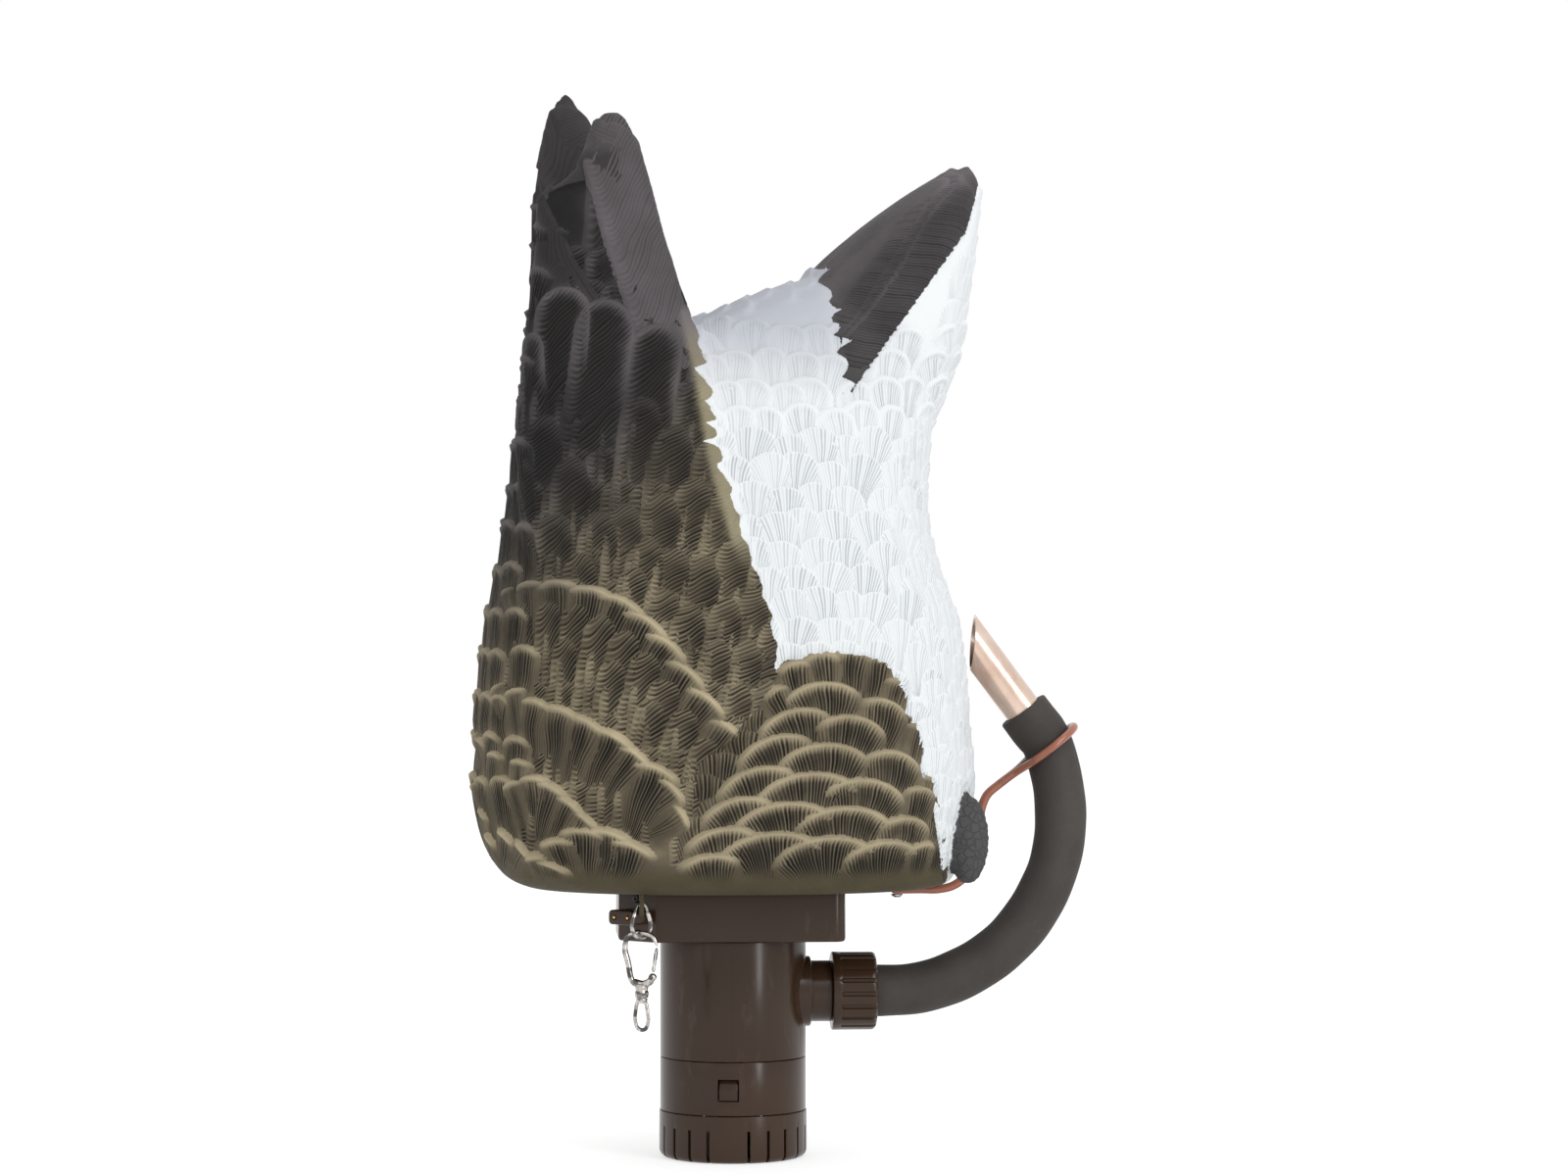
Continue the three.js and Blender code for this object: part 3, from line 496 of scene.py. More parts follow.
PRIMARIES = [  # and their barbs' sweep and depth, how long the tip is and how worn the paint
    (600, 146, -9, 27, 250, 1.9, 1.0, 1.6, 0.0), (563, 193, 0, 26, 150, 1.2, 0.25, 1.0, 0.1),
    (617, 124, -16, 38, 262, 1.5, 0.5, 1.9, 0.7), (577, 106, 3, 36, 86, 0.6, 0.35, 1.6, 0.27),
]
RUMP_ROW = 430  # above this row the white feathers have clear rims
TAIL_SIDE = [  # root column and row, tip column and row, half width
    (852, 405, 988, 188, 30), (836, 352, 980, 178, 20), (828, 322, 966, 174, 15),
]


class Plan:
    """Every feather on the bird, each on the skin."""

    def __init__(self, skin):
        self.skin = skin
        self.chance = np.random.default_rng(5)
        self.feathers = []

    def seen(self, column, row):
        """The place at a pixel, or the nearest one towards the bird's middle."""
        for inward in range(12):
            found = self.skin.seen_at(column + (760 - column) * 0.01 * inward, row)
            if found is not None:
                return found
        return None

    def add(self, places, half_width, kind, mirror=True, **more):
        if any(place is None for place in places):
            return
        points, normals = zip(*places)
        more["seed"] = self.chance.uniform(0, 6)
        self.feathers.append(Feather(points, normals, half_width, kind, **more))
        if mirror:
            points, normals = zip(*(mirrored(self.skin, p) for p in points))
            more["hand"] = -more.get("hand", 1)
            self.feathers.append(Feather(points, normals, half_width, kind, **more))

    def from_pixels(self, column, row, lean, half, length, kind, **more):
        way = np.array([math.sin(math.radians(lean)), -math.cos(math.radians(lean))])
        places = []
        for share in (1, 0.5, 0):
            at = np.array([column, row]) - way * length * share
            places.append(self.seen(*at))
        self.add(places, half * PIXEL, kind, **more)

    def fillers(self):
        """Low feathers under the others, so that no patch between them is bare."""
        for r, row in enumerate(range(250, 900, 34)):
            for column in np.arange(500, 800, 30) + 15 * (r % 2):
                self.from_pixels(column, row, 5, 24, 90, "vane", lift=1.2, tilt=0.5, lip=0.2, group="wing")
        for r, row in enumerate(range(700, 900, 22)):
            for column in np.arange(715, 970, 44) + 22 * (r % 2):
                self.from_pixels(column, row, 0, 30, 50, "fan", lift=1.0, tilt=0.2, lip=0.1,
                                 round=0.6, group="flank")

    def wings(self):
        for row in COLUMNS:
            self.from_pixels(*row, "vane", lift=2.2, tilt=1.0, margin=0.36, sweep=0.85, lip=0.15,
                             round=1.7, group="wing")
        for row in GREAT_VANES:
            self.from_pixels(*row, "vane", lift=3.4, tilt=0.8, margin=0.36, sweep=1.25, lip=0.65,
                             run=0.35, round=1.1, group="wing")
        for *row, sweep, depth, taper, tone in PRIMARIES:
            self.from_pixels(*row, "vane", lift=2.0, tilt=0.4, margin=0.3, sweep=sweep, lip=0.1,
                             depth=depth, above=1.8 * (1 - depth), round=taper, tone=tone, group="wing")
        for row in COVERT_TOPS:
            self.from_pixels(*row, "fan", lift=3.4, tilt=0.7, lip=1.0, round=0.5, fan=1.6, group="wing")
        for row in COVERT_VANES:
            self.from_pixels(*row, "vane", lift=2.5, tilt=1.0, margin=0.34, sweep=1.3, lip=0.15,
                             round=1.2, group="wing")
        for row in COVERTS:
            self.from_pixels(*row, "fan", lift=3.4, tilt=0.5, round=0.52, fan=0.5, group="wing")
        for row in FLANK:
            self.from_pixels(*row, "fan", lift=3.2, tilt=0.5, round=0.62, lip=0.8, fan=0.7, group="flank")

    def from_side(self, origin, way, tip, root, half, kind, least, **more):
        """A feather placed by looking at the bird from its back, its belly or from above."""
        places = [self.skin.cast(np.array(origin) + step, way) for step in (root, (root + tip) / 2, tip)]
        if any(place is None or place[1] @ np.array(way) > -least for place in places):
            return
        if np.ptp([place[0] for place in places], axis=0).max() > 2.2 * np.linalg.norm(tip - root) + 4:
            return
        self.add(places, half, kind, mirror=False, **more)

    def back(self):
        for r, height in enumerate(np.arange(18, 430, 23)):
            for y in np.arange(-5, 6) * 19.0 + 9.5 * (r % 2):
                jitter = self.chance.uniform(-2.5, 2.5, 2)
                tip = np.array([0, y + jitter[0], height + jitter[1]])
                length = 40 + 0.08 * height
                root = tip - (0, 0, min(length, tip[2] - 3))
                self.from_side((-400, 0, BIRD_BOTTOM), (1, 0, 0), tip, root, 14.5, "fan", 0.7,
                               lift=2.3, tilt=0.3, lip=0.8, round=0.65, group="wing")

    def white(self):
        soft = {"lift": 1.5, "tilt": 0.4, "lip": 0.2, "round": 0.85, "spacing": 1.9, "depth": 0.45,
                "fan": 0.12, "group": "white"}
        for r, row in enumerate(range(330, 925, 27)):
            for column in np.arange(700, 1010, 33) + 16.5 * (r % 2):
                jitter = self.chance.uniform(-5, 5, 2)
                lean = -10 + 16 * (column - 700) / 300 + self.chance.uniform(-12, 12)
                half = self.chance.uniform(21, 29)
                varied = {"depth": self.chance.uniform(0.4, 0.8), "fan": self.chance.uniform(0.1, 0.45)}
                self.from_pixels(column + jitter[0], row + jitter[1], lean, half, 56, "fan",
                                 **{**soft, **varied, "lip": 0.3 + 0.5 * (row < RUMP_ROW)})
        for r, height in enumerate(np.arange(14, 400, 13)):
            for y in np.arange(-5, 6) * 17.0 + 8.5 * (r % 2):
                jitter = self.chance.uniform(-2, 2, 2)
                tip = np.array([0, y + jitter[0], height + jitter[1]])
                root = tip - (0, 0, min(30, tip[2] - 2))
                self.from_side((400, 0, BIRD_BOTTOM), (-1, 0, 0), tip, root, 12.5, "fan", 0.6, **soft)
        for r, x in enumerate(np.arange(-14, 66, 12)):
            for y in np.arange(-2, 3) * 17.0 + 8.5 * (r % 2):
                tip = np.array([x, y, 0.0])
                self.from_side((0, 0, 900), (0, 0, -1), tip, tip - (28, 0, 0), 12, "fan", 0.45,
                               **{**soft, "depth": 0.3, "lift": 2.4})

    def tail(self):
        for c0, r0, c1, r1, half in TAIL_SIDE:
            way = np.array([c1 - c0, r1 - r0])
            places = [self.seen(*(np.array([c0, r0]) + way * share)) for share in (0, 0.5, 1)]
            self.add(places, half * PIXEL, "vane", lift=1.8, tilt=0.3, hand=-1, margin=0.25, sweep=-0.5,
                     lip=0.4, depth=0.8, spacing=1.7, round=1.8, group="tail")
        for y in (-26, -13, 0, 13, 26):
            tip, root = np.array([126 - 0.2 * abs(y), y * 0.8, 0]), np.array([40, y, 0])
            self.from_side((0, 0, 900), (0, 0, -1), tip, root, 11, "vane", 0.4, lift=2.2, tilt=0.2,
                           margin=0.3, sweep=1.2, lip=0.6, depth=0.4, round=1.5, group="tail")


# Regions of the paint, as X at a height above the ground, on either side of the bird

WING_FRONT = ([150, 159, 220, 236, 262, 278, 300, 318, 342, 383, 410, 428, 464, 504, 547, 594],
              [-24, -23, -26, -6, 15, 17.5, 14, 8.5, 0, -11, -15, -17.5, -25, 10, 30, 30])
FLANK_FRONT = ([150, 161, 193, 214, 241, 257, 267, 274, 278, 280],
               [115, 114, 108, 101, 93, 87, 82, 76, 66, 50])
FLANK_BACK = ([231, 236, 262, 268, 275, 279, 280], [-60, -6, 13, 16, 20, 28, 48])
TAIL_FRONT = ([58, 126, 138], [416, 510, 545])
TAIL_BASE = ([416, 489], [58, 44])
TEETH_TOP = 492
TOOTH_HEIGHT = 11
TOOTH_DEPTH = 11
SPIKE_SPAN = (372, 436)  # where white spikes bite into the wing's edge
SPIKE_HEIGHT = 13.5
SPIKE_DEPTH = 10
FLANK_INSET = 3.5
FLANK_LOBES = 4.5  # how far the flank's outer feathers reach over that


def in_foot(points):
    """How far each point is inside a foot's knob, in millimetres. Negative is outside."""
    x, y, z = points.T
    centre = (FOOT_CENTRE[0], FOOT_CENTRE[1], FOOT_CENTRE[2] + BIRD_BOTTOM)
    share = np.sqrt(((x - centre[0]) / FOOT_RADII[0])**2 + ((abs(y) - centre[1]) / FOOT_RADII[1])**2
                    + ((z - centre[2]) / FOOT_RADII[2])**2)
    return (1.1 - share) * FOOT_RADII[0]


def saw(height, pitch):
    """Teeth that rise slowly and fall fast."""
    phase = (height / pitch + 0.25 * np.sin(height * 0.11)) % 1
    return np.where(phase < 0.72, phase / 0.72, (1 - phase) / 0.28)


def in_flank(points):
    x, _, z = points.T
    front, back = np.interp(z, *FLANK_FRONT), np.interp(z, *FLANK_BACK)
    return np.minimum(np.minimum(front - FLANK_INSET - x, x - back), FLANK_FRONT[0][-1] - FLANK_INSET - z)


def regions(points):
    """How far each point is inside the wings, the flanks, the dark tail and the feet."""
    x, _, z = points.T
    reach = SPIKE_DEPTH * (0.65 + 0.35 * np.sin(0.21 * z))
    bite = reach * (1 - saw(-z, SPIKE_HEIGHT)) ** 3 * (z > SPIKE_SPAN[0]) * (z < SPIKE_SPAN[1])
    bite += 0.9 * np.sin(0.37 * z) + 0.4 * np.sin(0.83 * z + 1)
    wing = np.interp(z, *WING_FRONT) - bite - x
    flank = in_flank(points)
    teeth = TOOTH_DEPTH * (0.7 + 0.3 * np.sin(0.31 * z)) * saw(z, TOOTH_HEIGHT)
    base = np.where(z < TAIL_BASE[0][1], np.interp(z, *TAIL_BASE), TAIL_BASE[1][1]) + teeth * (z < TEETH_TOP)
    ragged = 1.6 * saw(z, 3.1) + 1.2 * saw(-z, 5.3)
    tail = np.minimum(x - base, 0.8 * (z - np.interp(x, *TAIL_FRONT) - ragged))
    tail = np.where(z > 412, tail, -20)
    return wing, flank, tail, in_foot(points)


def linear(red, green, blue):
    """A colour read off the photograph, 0 to 255, in Blender's linear light."""
    value = np.array([red, green, blue]) / 255
    return np.where(value < 0.04045, value / 12.92, ((value + 0.055) / 1.055) ** 2.4)


CHARCOAL, CHARCOAL_EDGE = linear(27, 26, 27), linear(92, 88, 92)
BROWN, SHADE, TAN = linear(76, 69, 57), linear(27, 24, 20), linear(164, 152, 126)
OLIVE = linear(128, 121, 100)
RIM = linear(68, 62, 46)
WHITE, LILAC = linear(204, 207, 208), linear(162, 165, 172)
TAIL_DARK, TAIL_EDGE = linear(62, 60, 61), linear(100, 95, 100)
FOOT_DARK = linear(70, 70, 71)


def mix(low, high, share):
    return low + (high - low) * np.asarray(share)[:, None]


class Nearby:
    """Points in order of height, so that those round a feather are found fast."""

    def __init__(self, points):
        self.points = points
        self.order = np.argsort(points[:, 2])
        self.heights = points[self.order, 2]

    def around(self, middle, reach):
        low, high = np.searchsorted(self.heights, (middle[2] - reach, middle[2] + reach))
        found = self.order[low:high]
        offset = self.points[found] - middle
        return found[(offset * offset).sum(axis=1) < reach * reach]


def cover(points, normals, feathers, least_facing):
    """The feather that lies uppermost at each point, or -1, and how high it stands."""
    wing, flank, tail, foot = regions(points)
    low = points[:, 2] < BIRD_BOTTOM + 100
    allowed = {
        "wing": wing > 0, "flank": (flank > -FLANK_LOBES) & ((wing < 0) | low),
        "white": (wing < 0) & (flank < 0) & (tail < 0), "tail": tail > 0,
    }
    nearby = Nearby(points)
    highest = np.zeros(len(points))
    which = np.full(len(points), -1)
    for number, feather in enumerate(feathers):
        found = nearby.around(feather.middle, feather.reach)
        found = found[allowed[feather.group][found] & (foot[found] < 0)]
        facing = normals[found] @ feather.normals[1] > least_facing
        found = found[facing]
        if not len(found):
            continue
        along, across = feather.local(points[found])
        inset = feather.inset(along, across)
        height = feather.height(along, across, inset)
        better = (inset > 0) & (along > -1) & (height > highest[found])
        highest[found[better]] = height[better]
        which[found[better]] = number
    return which, highest


DETAILS = ("count", "cut", "pale", "dark")


def detail(points, which, feathers):
    """Each point's place on the feather that covers it: barb count, cut, paleness and shade."""
    found_details = {name: np.zeros(len(points)) for name in DETAILS}
    order = np.argsort(which, kind="stable")
    starts = np.searchsorted(which[order], np.arange(len(feathers) + 1))
    for number, feather in enumerate(feathers):
        found = order[starts[number]:starts[number + 1]]
        if not len(found):
            continue
        along, across = feather.local(points[found])
        inset = feather.inset(along, across)
        share = np.clip(along / feather.length, 0, 1)
        count, cut = feather.barbs(along, across)
        smooth_rim = 0.6 + 4.4 * feather.lip
        found_details["count"][found] = count
        found_details["cut"][found] = cut * ease(inset, 0.5 * smooth_rim, 1.25 * smooth_rim)
        found_details["pale"][found] = feather.paleness(across, inset, share)
        found_details["dark"][found] = feather.darkness(along, across, inset)
    return found_details


BARB_DEPTH = 0.22
MOST_TRIANGLES = 196000


def relief(mesh, feathers):
    """Raises the feathers on the smooth skin."""
    points, normals = vertices_of(mesh) / MM, normals_of(mesh)
    which, height = cover(points, normals, feathers, 0.15)
    inside = detail(points, which, feathers)
    groove = 0.5 - 0.5 * np.cos(2 * math.pi * inside["count"])
    height = height - BARB_DEPTH * groove * inside["cut"]
    height *= ease(points[:, 2] - BIRD_BOTTOM, 3, 13)
    knobs = in_foot(points) > -2
    bumps = np.sin(points[:, 1] * 1.1) * np.sin(points[:, 2] * 0.9 + 1.3 * np.sin(points[:, 1] * 0.5))
    height = np.where(knobs, 0.45 * bumps, height)
    moved = (points + normals * height[:, None]) * MM
    mesh.vertices.foreach_set("co", moved.astype(np.float32).ravel())
    mesh.update()


def softened(values, corners, edges, count, passes):
    """Corner values as sprayed paint: averaged at the vertices, then over their neighbours."""
    at = corners.ravel()
    value = np.bincount(at, values, count) / np.maximum(np.bincount(at, minlength=count), 1)
    near = np.maximum(np.bincount(edges.ravel(), minlength=count), 1)
    for _ in range(passes):
        around = np.bincount(edges[:, 0], value[edges[:, 1]], count)
        around += np.bincount(edges[:, 1], value[edges[:, 0]], count)
        value = 0.4 * value + 0.6 * around / near
    return value[at]


def paint(mesh, feathers):
    """Gives each corner its colour, and the running count and cut of its feather's barbs."""
    points = vertices_of(mesh) / MM
    corners = np.empty(len(mesh.loops), np.int32)
    mesh.loops.foreach_get("vertex_index", corners)
    corners = corners.reshape(-1, 3)
    centres = points[corners].mean(axis=1)
    first, second = (points[corners[:, k]] - points[corners[:, 0]] for k in (1, 2))
    facing = np.cross(first, second)
    facing /= np.linalg.norm(facing, axis=1)[:, None] + 1e-12
    which, _ = cover(centres, facing, feathers, -0.2)
    which = np.repeat(which, 3)
    at = points[corners.ravel()]
    x, y, z = at.T
    inside = detail(at, which, feathers)
    edges = np.empty(len(mesh.edges) * 2, np.int32)
    mesh.edges.foreach_get("vertices", edges)
    edges = edges.reshape(-1, 2)
    sprayed = [softened(inside[name], corners, edges, len(points), 3) for name in ("pale", "dark")]
    pale = np.clip(0.35 * inside["pale"] + 0.65 * sprayed[0], 0, 1)
    dark = 0.5 * inside["dark"] + 0.5 * sprayed[1]
    wing, flank, tail, foot = regions(at)
    groups = np.array([f.group for f in feathers] + ["none"])[which]
    shades = np.array([math.sin(7 * f.seed) for f in feathers] + [0.0])[which]

    soot = ease(z - 0.75 * (x + 60), 290, 425)
    tan = mix(TAN, CHARCOAL_EDGE, soot)
    # SHADE comes in by the darkness: painted shade under the fans' rims and in their splits, with the
    # paint's own darker tone there and on the vanes.
    body = mix(mix(np.tile(BROWN, (len(at), 1)), SHADE, 0.9 * dark), CHARCOAL, soot)
    edge = np.interp(z, *WING_FRONT)
    band = ease(x, edge - 10, edge - 5) * ease(z, 318, 350) * (wing > -4)
    band_colour = mix(OLIVE, CHARCOAL_EDGE, ease(z, 420, 470))
    tone_and_side_shade = np.array([f.tone for f in feathers] + [0.0])[which] * ease(z, 400, 430)
    # Above 546 mm the near wing's tip is painted lighter than the far one's: painted light and shade, as the
    # paint is otherwise the same on both sides.
    tone_and_side_shade = np.maximum(tone_and_side_shade, np.where(y < 0, 0.6, 0.27) * ease(z, 546, 556))
    body = mix(body, CHARCOAL_EDGE, tone_and_side_shade)
    colour = body * (1 + 0.1 * shades)[:, None]
    colour = colour + (tan - colour) * pale[:, None]
    colour = colour + (band_colour - colour) * band[:, None]
    tail_colour = mix(TAIL_DARK, TAIL_EDGE, 0.5 * pale + 0.4 * ease(z - 0.83 * x, 425, 440))
    colour = np.where((tail > -6)[:, None], tail_colour, colour)
    low_rim = (1 - ease(z, BIRD_BOTTOM + 7, BIRD_BOTTOM + 17)) * (x < 112)
    colour = mix(colour, RIM, low_rim)

    rump = ease(z, 405, 470) * ease(100 - x, 0, 60)
    painted = np.maximum(np.maximum(wing, flank), tail)
    painted = np.where(groups == "flank", np.maximum(painted, 2), painted)
    painted = np.where(low_rim > 0.5, np.maximum(painted, 2), painted)
    bare = np.clip(0.5 - painted, 0, 1)
    cut = inside["cut"] * (1 - low_rim) * (foot < 0) * (1 - 0.9 * band) * (1 - 0.35 * soot)
    cut = cut * (1 - 0.55 * rump * bare)
    rub = (0.2 + 0.55 * pale) * (1 - 0.7 * soot) * (tail < 0)
    scalars = {"barb": inside["count"], "cut": cut, "rub": rub, "rump": rump,
               "painted": np.clip(painted, -5, 5), "foot": np.clip(foot, -5, 5)}
    store(mesh, np.clip(colour, 0, 1), scalars)


def store(mesh, colour, scalars):
    """Keeps the paint on the mesh, where its material reads it."""
    values = np.column_stack([colour, np.ones(len(colour))]).astype(np.float32)
    mesh.attributes.new("tint", "FLOAT_COLOR", "CORNER").data.foreach_set("color", values.ravel())
    for name, value in scalars.items():
        mesh.attributes.new(name, "FLOAT", "CORNER").data.foreach_set("value", value.astype(np.float32))


def thinned(mesh, most):
    thing = new_object("thinning", mesh)
    triangles = sum(len(p.vertices) - 2 for p in mesh.polygons)
    fewer = thing.modifiers.new("fewer", "DECIMATE")
    fewer.ratio = min(1.0, most / triangles)
    fewer.use_collapse_triangulate = True
    made = applied(thing)
    bpy.data.objects.remove(thing)
    return made


def bird():
    smooth = smooth_bird()
    plan = Plan(Skin(smooth))
    plan.fillers()
    plan.wings()
    plan.back()
    plan.white()
    plan.tail()
    relief(smooth, plan.feathers)
    mesh = thinned(smooth, MOST_TRIANGLES)
    paint(mesh, plan.feathers)
    mesh.shade_smooth()
    goose = new_object("goose", mesh)
    hanger = new_object("hanger", lug())
    corners = len(hanger.data.loops)
    flat = {name: np.zeros(corners) for name in ("barb", "cut", "rub", "rump")}
    flat |= {"painted": np.full(corners, 5.0), "foot": np.full(corners, -5.0)}
    store(hanger.data, np.tile(RIM, (corners, 1)), flat)
    both = [goose, hanger]
    with bpy.context.temp_override(active_object=goose, object=goose, selected_objects=both,
                                   selected_editable_objects=both):
        bpy.ops.object.join()
    return goose


# Materials


class Nodes:
    """A material's node tree, with its nodes made and joined in one call each."""

    def __init__(self, name):
        self.material = bpy.data.materials.new(name)
        self.material.use_nodes = True
        self.tree = self.material.node_tree
        self.shader = self.tree.nodes["Principled BSDF"]

    def node(self, kind, inputs=None, **settings):
        made = self.tree.nodes.new(kind)
        for name, value in settings.items():
            setattr(made, name, value)
        for name, value in (inputs or {}).items():
            self.put(made.inputs[name], value)
        return made

    def put(self, socket, value):
        if isinstance(value, bpy.types.NodeSocket):
            self.tree.links.new(value, socket)
        elif isinstance(value, np.ndarray):
            socket.default_value = (*value, 1.0)
        else:
            socket.default_value = value

    def set(self, **values):
        for name, value in values.items():
            self.put(self.shader.inputs[name.replace("_", " ")], value)

    def math(self, operation, *values):
        node = self.tree.nodes.new("ShaderNodeMath")
        node.operation = operation
        for socket, value in zip(node.inputs, values):
            self.put(socket, value)
        return node.outputs[0]

    def mix(self, share, low, high, blend="MIX"):
        node = self.tree.nodes.new("ShaderNodeMix")
        node.data_type = "RGBA"
        node.blend_type = blend
        self.put(node.inputs["Factor"], share)
        self.put(node.inputs["A"], low)
        self.put(node.inputs["B"], high)
        return node.outputs["Result"]

    def span(self, value, low, high, to_low=0.0, to_high=1.0):
        node = self.node("ShaderNodeMapRange", {
            "Value": value, "From Min": low, "From Max": high, "To Min": to_low, "To Max": to_high,
        })
        return node.outputs[0]

    def attribute(self, name, output="Fac"):
        return self.node("ShaderNodeAttribute", attribute_name=name).outputs[output]

    def place(self, stretch=(1, 1, 1)):
        where = self.node("ShaderNodeTexCoord").outputs["Object"]
        return self.node("ShaderNodeMapping", {"Vector": where, "Scale": stretch}).outputs[0]

    def noise(self, scale, detail=3.0, rough=0.55, stretch=(1, 1, 1)):
        return self.node("ShaderNodeTexNoise", {
            "Vector": self.place(stretch), "Scale": scale, "Detail": detail, "Roughness": rough,
        }).outputs["Fac"]

    def chance(self, number):
        """A random value for each whole number."""
        return self.node("ShaderNodeTexWhiteNoise", {"W": number}, noise_dimensions="1D").outputs["Value"]

    def cell_edges(self, scale):
        return self.node("ShaderNodeTexVoronoi", {"Vector": self.place(), "Scale": scale},
                         feature="DISTANCE_TO_EDGE").outputs["Distance"]

    def bump(self, height, depth_mm, strength=1.0, below=None):
        inputs = {"Height": height, "Distance": depth_mm * MM, "Strength": strength}
        if below is not None:
            inputs["Normal"] = below
        return self.node("ShaderNodeBump", inputs).outputs[0]


def decoy_paint():
    """Flat acrylic over moulded plastic: painted shade in the cut barbs, rubbed paler on what stands up."""
    m = Nodes("decoy_paint")
    tint = m.attribute("tint", "Color")
    barb = m.attribute("barb")
    wave = m.math("COSINE", m.math("MULTIPLY", barb, 2 * math.pi))
    groove = m.math("POWER", m.span(wave, 1, -1), 1.4)
    uneven = m.span(m.chance(m.math("FLOOR", barb)), 0, 1, 0.35, 1.1)
    cut = m.math("MULTIPLY", m.math("MULTIPLY", groove, uneven), m.attribute("cut"))
    worn = m.span(m.chance(m.math("ROUND", barb)), 0, 1, 0.3, 1.3)
    crest = m.math("MULTIPLY", m.math("MULTIPLY", m.span(wave, 0.1, 1), worn), m.attribute("rub"))
    mottle = m.noise(34, 4)
    speck = m.noise(420, 3, 0.7)
    shade = m.span(mottle, 0.3, 0.7, 0.84, 1.14)
    uneven_tint = m.mix(1.0, tint, m.node("ShaderNodeCombineColor", {
        "Red": shade, "Green": shade, "Blue": m.span(mottle, 0.3, 0.7, 0.82, 1.12),
    }).outputs[0], "MULTIPLY")
    # Painted shade: the paint is darkened in the barbs' cut grooves.
    dark = m.mix(1.0, uneven_tint, linear(118, 112, 106), "MULTIPLY")
    rubbed = m.mix(m.math("MULTIPLY", crest, m.attribute("cut")), uneven_tint, linear(150, 141, 120))
    coloured = m.mix(cut, rubbed, dark)

    snow = m.mix(m.attribute("rump"), WHITE, LILAC)
    # Painted shade: the white turns a cool grey in its cut grooves.
    shaded_snow = m.mix(1.0, snow, linear(182, 190, 198), "MULTIPLY")
    white = m.mix(cut, snow, shaded_snow)
    fray = m.math("MULTIPLY", m.math("SUBTRACT", m.noise(700, 2), 0.5), 1.6)
    edge = m.span(m.math("ADD", m.attribute("painted"), fray), -0.25, 0.25)
    knob = m.span(m.math("ADD", m.attribute("foot"), fray), -0.3, 0.3)
    m.set(Base_Color=m.mix(knob, m.mix(edge, white, coloured), FOOT_DARK))
    m.set(Roughness=m.span(speck, 0.3, 0.7, 0.6, 0.78), Specular_IOR_Level=0.11)
    scales = m.math("MULTIPLY", m.cell_edges(230), knob)
    grain = m.bump(speck, 0.05)
    scaled = m.bump(m.span(scales, 0, 0.12), 0.5, 1.0, grain)
    m.set(Normal=m.bump(m.math("SUBTRACT", 1.0, cut), 0.55, 0.9, scaled))
    return m.material


def moulded_plastic():
    m = Nodes("moulded_plastic")
    cloud = m.noise(14, 2)
    grain = m.noise(400, 1, 0.4)
    scuff = m.noise(60, 5, 0.7, (1, 1, 0.3))
    base = m.mix(m.span(cloud, 0.2, 0.8), linear(44, 30, 19), linear(54, 37, 25))
    m.set(Base_Color=m.mix(m.span(scuff, 0.6, 0.8, 0, 0.22), base, linear(112, 98, 86)))
    m.set(Roughness=m.span(cloud, 0.2, 0.8, 0.18, 0.25), Specular_IOR_Level=0.28)
    m.set(Normal=m.bump(grain, 0.006, 0.5))
    return m.material


def hose_rubber():
    m = Nodes("hose_rubber")
    cloud = m.noise(30, 4)
    grain = m.noise(1400, 2, 0.6)
    dust_and_sheen = m.noise(140, 4, 0.7)
    base = m.mix(m.span(cloud, 0.3, 0.7), linear(46, 42, 39), linear(57, 52, 48))
    # Pale blotches: dust, and a painted sheen.
    m.set(Base_Color=m.mix(m.span(dust_and_sheen, 0.62, 0.8, 0, 0.16), base, linear(120, 114, 108)))
    m.set(Roughness=m.span(dust_and_sheen, 0.3, 0.7, 0.62, 0.76), Specular_IOR_Level=0.35)
    m.set(Normal=m.bump(grain, 0.03, 0.7))
    return m.material


def nozzle_copper():
    m = Nodes("nozzle_copper")
    brushed = m.noise(260, 3, 0.6, (1, 1, 0.06))
    cloud = m.noise(40, 3)
    m.set(Base_Color=m.mix(m.span(cloud, 0.3, 0.7), linear(206, 176, 158), linear(234, 214, 200)))
    m.set(Metallic=1.0, Roughness=m.span(brushed, 0.3, 0.7, 0.17, 0.27))
    m.set(Normal=m.bump(brushed, 0.01, 0.4))
    return m.material


def clip_coating():
    m = Nodes("clip_coating")
    cloud = m.noise(60, 3)
    base = m.mix(m.span(cloud, 0.3, 0.7), linear(118, 66, 46), linear(146, 86, 62))
    m.set(Base_Color=base, Roughness=m.span(cloud, 0.3, 0.7, 0.24, 0.36), Coat_Weight=0.3)
    m.set(Normal=m.bump(m.noise(500, 2), 0.03, 0.5))
    return m.material


def plated(name, low, high, rough, patchy_reflections=0.0):
    """Plated metal, mottled darker and brighter: dulled plating with painted reflections. A patchy one is
    worn through to a darker layer here and there, with painted dark reflections there too.
    """
    m = Nodes(name)
    wear_and_reflection = m.noise(300, 3, 0.65)
    dark_patches_and_reflections = m.math("MULTIPLY", m.span(m.noise(210, 2, 0.4), 0.46, 0.58), patchy_reflections)
    # Painted reflections: a dark-to-bright mottle and dark patches, over the plating's wear.
    worn = m.mix(dark_patches_and_reflections, m.mix(m.span(wear_and_reflection, 0.35, 0.7), high, low), 0.15 * low + 0.85 * linear(20, 16, 13))
    m.set(Base_Color=worn, Metallic=1.0, Roughness=m.span(wear_and_reflection, 0.3, 0.7, rough, rough + 0.12))
    return m.material


